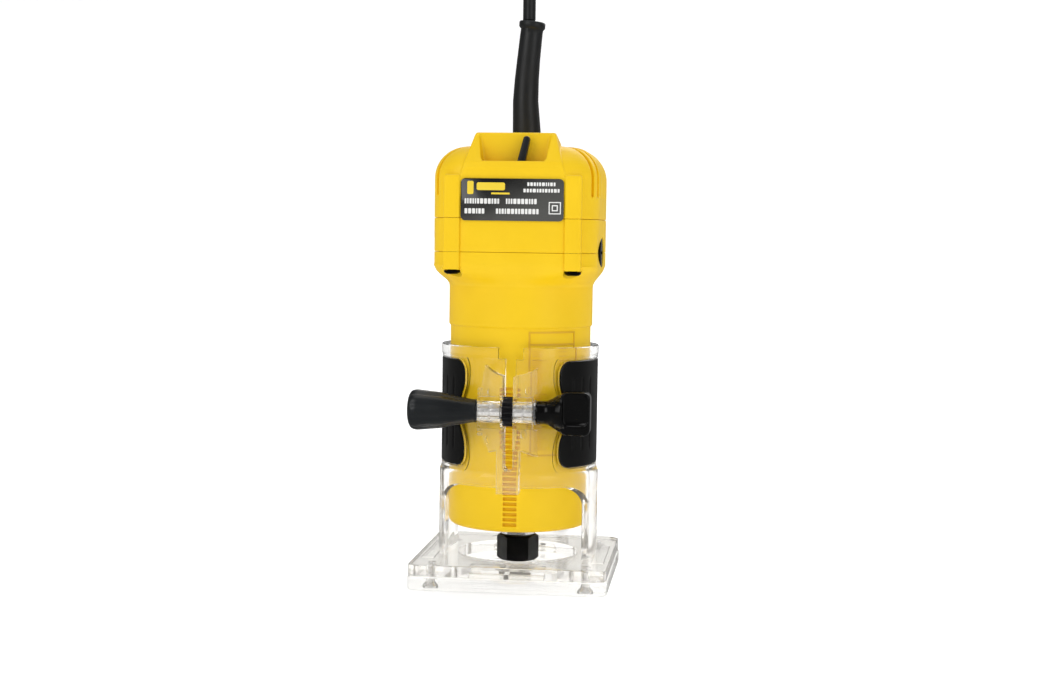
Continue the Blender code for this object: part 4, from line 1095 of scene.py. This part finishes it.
def make_base():
    """The clear sleeve on its legs, with the ears, the slot, ridges round the grips and the square plate."""
    sleeve_in, sleeve_out, leg_out, rim_out = 32.8, 35.6, 36.9, 36.4
    wall = [(sleeve_in, 10.0), (leg_out, 10.0), (leg_out, 50.2), (sleeve_out + 0.9, 51.6), (sleeve_out, 52.8),
            (sleeve_out, 103.4), (36.3, 104.3), (rim_out, 104.9), (rim_out, SLEEVE_TOP - 0.3),
            (rim_out - 0.3, SLEEVE_TOP), (sleeve_in + 0.3, SLEEVE_TOP), (sleeve_in, SLEEVE_TOP - 0.3)]
    obj = to_object("base", lathe(wall, 192), CLEAR)
    window_half, window_top, round_r = 31.5, 46.0, 10.0
    arch = [(-window_half, 0.0), (window_half, 0.0)]
    arch += arc(window_half - round_r, window_top - round_r, round_r, 0, 90, 14)
    arch += arc(round_r - window_half, window_top - round_r, round_r, 90, 180, 14)
    cut(obj, prism(arch, -60.0, 60.0, "Y"))
    add(obj, *[grip_patch(side, sleeve_out - 0.6, sleeve_out + 0.55, 3.0) for side in (-1, 1)])
    ears = make_ears()
    cut(ears, drum(sleeve_in + 1.0, 20.0, 130.0, 192))
    add(obj, ears)
    square = prism(rounded_outline(44.6, 44.6, 5.0, 10), 6.2, PLATE_TOP)
    plate = to_object("plate", soften(square, 0.5, 2, 60.0))
    cut(plate, drum(28.0, 0.0, 30.0, 128))
    pockets = [soften(box((x - half_x, y - half_y, 5.0), (x + half_x, y + half_y, 8.4)), 0.5, 2)
               for side in (-1, 1) for x, y, half_x, half_y in (
                   (-9.0, side * 37.5, 8.0, 4.5), (9.0, side * 37.5, 8.0, 4.5),
                   (side * 39.0, 0.0, 3.0, 22.0))]
    cut(plate, join(*pockets))
    add(obj, plate)
    slot_bottom = 54.2
    slot = arc(0.0, slot_bottom + SLOT_HALF, SLOT_HALF, 180, 360, 14)
    slot += [(SLOT_HALF, 120.0), (-SLOT_HALF, 120.0)]
    cut(obj, prism(slot, -60.0, -25.0, "Y"), box((-5.6, -50.0, 103.8), (5.6, -25.0, 120.0)))
    cut(obj, on_shaft(5.0, -20.0, 20.0, 56), on_shaft(7.5, -3.4, 2.2, 56))
    cut(obj, join(on_shaft(5.9, -22.0, BOSS_LEFT, 56), on_shaft(5.9, BOSS_RIGHT, 20.0, 56)))
    cut(obj, grip_patch(-1, GRIP_IN - 0.3, 42.0, 0.4), grip_patch(1, GRIP_IN - 0.3, 42.0, 0.4))
    cut(obj, join(*[drum(1.9, 0.0, 9.4, 24, "Z", (x, y, 0))
                    for x, y in at_corners(SOLE_SCREW_X, SOLE_SCREW_Y)]))
    places = ((-8.4, 89.4), (-9.2, 68.2), (8.6, 90.2), (6.9, 71.0))
    dimples = []
    for x, z in places:
        dimple = lathe([(0, -2.0), (1.5, -2.0), (1.5, 1.6), (1.0, 2.1), (0, 2.2)], 24)
        bmesh.ops.scale(dimple, verts=dimple.verts, vec=(0.8, 1.25, 1.0))
        dimples.append(shifted(turned(dimple, -math.pi / 2, "X"), (x, ear_face(x), z)))
    cut(obj, join(*dimples))
    bevel_edges(obj, 0.3, 2)
    piece(obj, "base", "clear_base", slot="clear_plastic")


def make_sole():
    """The thin clear sole under the plate, with sunk holes for its screws."""
    bm = soften(prism(rounded_outline(45.0, 45.0, 5.0, 10), 0.0, 5.9), 0.6, 2, 60.0)
    obj = to_object("sole", bm, CLEAR)
    sinks = [lathe([(0, -1.0), (3.6, -1.0), (3.6, 1.0), (1.95, 2.8), (1.95, 8.0), (0, 8.0)], 32, "Z",
                   (x, y, 0)) for x, y in at_corners(SOLE_SCREW_X, SOLE_SCREW_Y)]
    cut(obj, drum(15.0, -2.0, 10.0, 96), join(*sinks))
    bevel_edges(obj, 0.25, 2)
    piece(obj, "base", "sole_plate", slot="clear_plastic")


make_grip(-1, "grip_left")
make_grip(1, "grip_right")
make_base()
make_sole()


# ---------------------------------------------------------------- knobs, gear and metal

def make_knob():
    """The depth knob: a cone with shallow flutes and a plain neck."""
    sides = 120
    flutes = 9
    profile = rounded([(0, -45.6), (6.4, -45.2), (8.6, -44.0), (9.2, -41.6), (8.1, -30.5), (5.9, -20.5),
                       (5.2, -16.6), (5.2, -14.3), (3.3, -14.3), (3.3, -40.2), (0, -40.2)], 1.2, 5)
    bm = lathe(profile, sides, "X", ON_SHAFT)
    for vert in bm.verts:
        y, z = vert.co.y - SHAFT_Y, vert.co.z - SHAFT_Z
        radius = math.hypot(y, z)
        x = vert.co.x
        if radius < 4.6:
            continue
        along = clamp((-18.0 - x) / 5.0) * clamp((x + 44.6) / 1.6)
        wave = (0.5 + 0.5 * math.cos(flutes * math.atan2(z, y))) ** 2.2
        shrink = 1 - 0.5 * along * wave / radius
        vert.co.y, vert.co.z = SHAFT_Y + y * shrink, SHAFT_Z + z * shrink
    obj = to_object("depth_knob", bm, BLACK, 40.0)
    piece(obj, "pinion", "adjusting_knob", slot="black_plastic")


def make_wing():
    """The clamp knob: a round neck that flares into a dished thumb pad."""
    profile = [(0, 33.0), (3.3, 33.0), (3.3, 12.3), (5.2, 12.3), (5.2, 16.4), (5.5, 17.4), (6.3, 19.0),
               (7.5, 21.0), (8.3, 23.0), (8.4, 25.0), (6.0, 30.0), (4.6, 35.0), (0, 35.0)]
    obj = to_object("wing", lathe(profile, 64, "X", ON_SHAFT), GLOSS)
    pad = prism(rounded_outline(6.7, 9.7, 3.0, 6, (29.6, SHAFT_Z)), SHAFT_Y - 5.2, SHAFT_Y + 4.4, "Y")
    web = prism([(17.0, SHAFT_Z - 4.4), (20.0, SHAFT_Z - 6.6), (24.5, SHAFT_Z - 9.2), (28.0, SHAFT_Z - 9.8),
                 (30.0, SHAFT_Z), (17.0, SHAFT_Z)], SHAFT_Y - 4.4, SHAFT_Y + 3.6, "Y")
    add(obj, soften(pad, 1.2, 3, 60), soften(web, 1.2, 3))
    cut(obj, on_shaft(3.3, 10.0, 33.0, 40))
    dish = soften(drum(19.0, -7.6, 8.2, 128, "Z", (29.6, SHAFT_Y - 23.0, SHAFT_Z + 1.7)), 2.2, 4, 60)
    keeper = prism(rounded_outline(5.6, 7.3, 3.2, 8, (29.8, SHAFT_Z + 1.7)), SHAFT_Y - 12.0, SHAFT_Y + 1.0,
                   "Y")
    tool = to_object("dish", dish)
    combine(tool, "INTERSECT", keeper)
    cut(obj, tool)
    moulded(obj, 0.28, 4)
    piece(obj, "wing_knob", "wing_knob", slot="black_plastic")


def make_pinion():
    """The 16-tooth gear between the ears."""
    root, pitch_r, tip, half = 4.9, 6.0, 6.65, 2.3
    stations = [(root, -0.85), (pitch_r, -0.43), (tip, -0.2), (tip, 0.2), (pitch_r, 0.43), (root, 0.85)]
    outline = []
    for k in range(16):
        turn = math.tau * k / 16 + math.pi / 2
        for radius, across in stations:
            angle = turn + across / radius
            outline.append((radius * math.sin(angle) + SHAFT_Y, SHAFT_Z - radius * math.cos(angle)))
    obj = to_object("gear", prism(outline, -0.58 - half, -0.58 + half, "X"), PINION)
    cut(obj, on_shaft(3.3, -10.0, 10.0, 48))
    bevel_edges(obj, 0.12, 2)
    piece(obj, "pinion", "pinion", slot="pinion_plastic")


def make_bush(name, node, x0, x1, groove):
    profile = rounded([(3.3, x0), (4.7, x0), (4.7, groove - 0.35), (4.35, groove - 0.3), (4.35, groove + 0.3),
                       (4.7, groove + 0.35), (4.7, x1), (3.3, x1)], 0.25)
    obj = to_object(name, lathe(profile, 72, "X", ON_SHAFT), STEEL)
    piece(obj, "base", node, slot="steel")


def make_nut():
    """The hexagonal collet nut with chamfered corners."""
    corner = 8.5 / math.cos(math.pi / 6)
    z0, z1 = low("collet_nut").z, high("collet_nut").z
    angles = [NUT_TURN + math.tau * k / 6 for k in range(6)]
    hexagon = [(corner * math.cos(a), corner * math.sin(a)) for a in angles]
    obj = to_object("nut", prism(hexagon, z0, z1), OXIDE)
    keeper = lathe([(0, z0 - 1), (8.3, z0 - 1), (8.3, z0), (corner + 0.2, z0 + 1.15),
                    (corner + 0.2, z1 - 1.15), (8.3, z1), (8.3, z1 + 1), (0, z1 + 1)], 96)
    combine(obj, "INTERSECT", keeper)
    cut(obj, lathe([(0, 5.0), (4.3, 5.0), (4.3, 8.0), (5.9, 9.6), (6.6, 10.0), (6.6, 25.0), (0, 25.0)], 64))
    bevel_edges(obj, 0.22, 3, 25.0)
    piece(obj, "collet_nut", "collet_nut", slot="blackened_steel")


def make_lever():
    """The toggle, leaning to one side."""
    pivot = Vector((LEVER_X, LEVER_Y, 180.0))
    top, tip, foot = pivot.z + 23.3, 1.5, 2.1
    outline = arc(pivot.x, pivot.z, foot, 180, 360, 14) + arc(pivot.x, top - tip, tip, 0, 180, 14)
    bm = soften(prism(outline, pivot.y - 1.9, pivot.y + 1.9, "Y"), 0.7, 4, 60.0)
    turned(bm, math.radians(13.0), "Y", pivot)
    obj = to_object("toggle", bm, BLACK, 40.0)
    piece(obj, "switch_lever", "switch_lever", slot="black_plastic")


def make_screws():
    """The four long screws seen under the flange, and the four that hold the sole."""
    for number, (sx, sy) in enumerate(((-1, -1), (1, -1), (1, 1), (-1, 1)), 1):
        x, y = sx * SCREW_X, sy * SCREW_Y
        profile = rounded([(0, 141.3), (2.4, 141.3), (3.5, 141.9), (3.7, 142.5), (3.7, 143.0), (1.95, 143.0),
                           (1.95, 170.0), (0, 170.0)], 0.3)
        obj = to_object("case_screw_%d" % number, lathe(profile, 40, "Z", (x, y, 0)), OXIDE)
        turn = 0.4 + number
        for angle in (turn, turn + math.pi / 2):
            slit = box((x - 1.9, y - 0.4, 140.0), (x + 1.9, y + 0.4, 142.2))
            cut(obj, turned(slit, angle, "Z", (x, y, 0)))
        shade(obj, 34.0)
        piece(obj, "motor", "housing_screw_%d" % number, slot="blackened_steel")
        x, y = sx * SOLE_SCREW_X, sy * SOLE_SCREW_Y
        profile = rounded([(0, 0.6), (3.2, 0.6), (3.2, 1.1), (1.6, 2.7), (1.6, 9.0), (0, 9.0)], 0.2)
        obj = to_object("base_screw_%d" % number, lathe(profile, 40, "Z", (x, y, 0)), STEEL)
        cut(obj, turned(box((x - 2.6, y - 0.45, 0.0), (x + 2.6, y + 0.45, 1.4)), turn, "Z", (x, y, 0)))
        shade(obj, 34.0)
        piece(obj, "base", "sole_screw_%d" % number, slot="steel")


def make_brush_caps():
    """The slotted covers of the carbon brushes."""
    for side, sign in (("left", -1), ("right", 1)):
        x0, x1 = sorted((sign * 32.9, sign * BRUSH_CAP_FACE))
        profile = rounded([(0, x0), (BRUSH_CAP_R, x0), (BRUSH_CAP_R, x1), (0, x1)], 0.45)
        obj = to_object("brush_cover_" + side, lathe(profile, 72, "X", (0, 0, BRUSH_Z)), GLOSS)
        x0, x1 = sorted((sign * (BRUSH_CAP_FACE - 1.2), sign * 40.0))
        cut(obj, box((x0, -5.4, BRUSH_Z - 0.7), (x1, 5.4, BRUSH_Z + 0.7)))
        shade(obj, 34.0)
        piece(obj, "motor", "brush_cap_" + side, slot="black_plastic")


def make_relief():
    """The cord's boot: a slim taper that bows a little, with a ring at its mouth."""
    stations = [(-0.4, 190.0, 8.6), (-0.4, 192.8, 8.6), (-0.4, 193.0, 6.6), (-0.4, 203.0, 6.6),
                (-0.6, 208.0, 6.6), (-1.3, 222.0, 6.0), (-0.9, 232.0, 5.7), (-0.2, 241.0, 5.45),
                (1.2, 255.4, 5.25)]
    loops = []
    sides = 64

    def ring(x, z, radius, lean=0.0):
        circle = arc(0.0, 0.0, radius, 0.0, 360.0 * (sides - 1) / sides, sides - 1)
        return [(x + a, RELIEF_Y + b, z - lean * a) for a, b in circle]

    for (x0, z0, r0), (x1, z1, r1) in zip(stations, stations[1:]):
        steps = max(1, round((z1 - z0) / 2.0))
        loops += [ring(x0 + (x1 - x0) * i / steps, z0 + (z1 - z0) * i / steps, r0 + (r1 - r0) * i / steps)
                  for i in range(steps)]
    x, z = 1.3, RELIEF_TOP
    mouth = [(0.0, -4.2, 5.25), (0.0, -3.8, 5.7), (0.0, -3.2, 6.1), (0.1, -1.2, 6.15), (0.1, -0.7, 5.8),
             (0.1, -0.6, 5.0), (0.1, -0.9, 4.7), (0.1, -4.0, 4.6)]
    loops += [ring(x + along, z + rise, radius, 0.1) for along, rise, radius in mouth]
    obj = to_object("boot", loft(loops), CORD, 50.0)
    piece(obj, "motor", "strain_relief", slot="cord_rubber")


make_knob()
make_wing()
make_pinion()
make_bush("bush_left", "ear_bush_left", -13.9, -3.7, -8.5)
make_bush("bush_right", "ear_bush_right", 2.1, 10.9, 6.6)
make_nut()
make_lever()
make_screws()
make_brush_caps()
make_relief()

# Solids that show as the frame has them, each with its material.
KEPT = (
    (STEEL, ("spindle", "collet", "front_bearing", "rear_bearing", "bearing_retainer", "clamp_shaft",
             "clamp_washer", "brush_spring_left", "brush_spring_right", "cord_clamp_screw_1",
             "cord_clamp_screw_2")),
    (OXIDE, ("armature_core", "field_core")),
    (COPPER, ("armature_windings", "commutator", "field_coil_1", "field_coil_2")),
    (BRASS, ("brush_holder_left", "brush_holder_right")),
    (CARBON, ("carbon_brush_left", "carbon_brush_right")),
    (BLACK, ("switch_body", "cord_clamp", "fan", "fan_baffle")),
)
for material, names in KEPT:
    for name in names:
        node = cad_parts[name]
        node.data.materials.clear()
        node.data.materials.append(material)


# ---------------------------------------------------------------- floor and light

FLOOR_GLOW = 0.34
FLOOR_IN_REFLECTIONS = 0.22
WORLD_LIGHT = 0.55
WORLD_IN_REFLECTIONS = 0.13


def reflection_only(tree):
    """1 for rays that reached here off a glossy surface, and 0 for all others."""
    path = tree.nodes.new("ShaderNodeLightPath")
    less = tree.nodes.new("ShaderNodeMath")
    less.operation = "SUBTRACT"
    less.use_clamp = True
    tree.links.new(path.outputs["Is Glossy Ray"], less.inputs[0])
    tree.links.new(path.outputs["Is Transmission Ray"], less.inputs[1])
    return less.outputs["Value"]


def make_stage():
    """One white sheet: a floor that curves up into a wall behind."""
    floor = bmesh.new()
    reach, near, depth, rise, bend = 3.0, -4.0, 2.2, 2.6, 0.9
    profile = [(near, 0.0)] + arc(depth - bend, bend, bend, -90, 0, 16) + [(depth, rise)]
    rows = [[floor.verts.new((x, y, z)) for y, z in profile] for x in (-reach, reach)]
    for i in range(len(profile) - 1):
        floor.faces.new((rows[0][i], rows[1][i], rows[1][i + 1], rows[0][i + 1]))
    mesh = bpy.data.meshes.new("floor")
    floor.to_mesh(mesh)
    floor.free()
    mesh.shade_smooth()
    obj = bpy.data.objects.new("floor", mesh)
    bpy.context.scene.collection.objects.link(obj)
    n = Nodes("paper", (0.93, 0.93, 0.93), 0.9)
    n.vary_colour(n.noise(3.0), (0.92, 0.92, 0.92), (0.94, 0.94, 0.94))
    n.set("Emission Color", (1.0, 1.0, 1.0, 1.0))
    n.set("Emission Strength", FLOOR_GLOW)
    dim = n.new("ShaderNodeEmission")
    dim.inputs["Strength"].default_value = FLOOR_IN_REFLECTIONS
    surface = mixed(n.tree, reflection_only(n.tree), n.shader.outputs["BSDF"], dim.outputs["Emission"])
    n.link(surface, n.output.inputs["Surface"])
    mesh.materials.append(n.material)


def area_light(name, place, target, size, power, colour=(1.0, 1.0, 1.0)):
    data = bpy.data.lights.new(name, "AREA")
    data.shape = "RECTANGLE"
    data.size, data.size_y = size
    data.energy = power
    data.color = colour
    obj = bpy.data.objects.new(name, data)
    obj.location = place
    obj.rotation_mode = "QUATERNION"
    obj.rotation_quaternion = (Vector(target) - Vector(place)).to_track_quat("-Z", "Y")
    bpy.context.scene.collection.objects.link(obj)


def make_lights():
    world = bpy.data.worlds.new("world")
    world.use_nodes = True
    tree = world.node_tree
    background = tree.nodes["Background"]
    background.inputs["Color"].default_value = (1.0, 1.0, 1.0, 1.0)
    background.inputs["Strength"].default_value = WORLD_LIGHT
    dim = tree.nodes.new("ShaderNodeBackground")
    dim.inputs["Strength"].default_value = WORLD_IN_REFLECTIONS
    surface = mixed(tree, reflection_only(tree), background.outputs["Background"], dim.outputs["Background"])
    tree.links.new(surface, tree.nodes["World Output"].inputs["Surface"])
    bpy.context.scene.world = world
    middle = (0.0, 0.0, 0.12)
    area_light("key", (-0.75, -1.0, 0.75), middle, (0.7, 0.9), 4.2)
    area_light("fill", (0.95, -0.8, 0.45), middle, (0.6, 0.9), 2.1)
    area_light("top", (0.0, 0.1, 1.4), middle, (1.0, 1.0), 4.0)
    area_light("back", (0.3, 1.2, 0.9), (0.0, 0.4, 0.0), (1.4, 0.8), 7.0)


make_stage()
make_lights()
bpy.context.scene.view_settings.view_transform = "Standard"
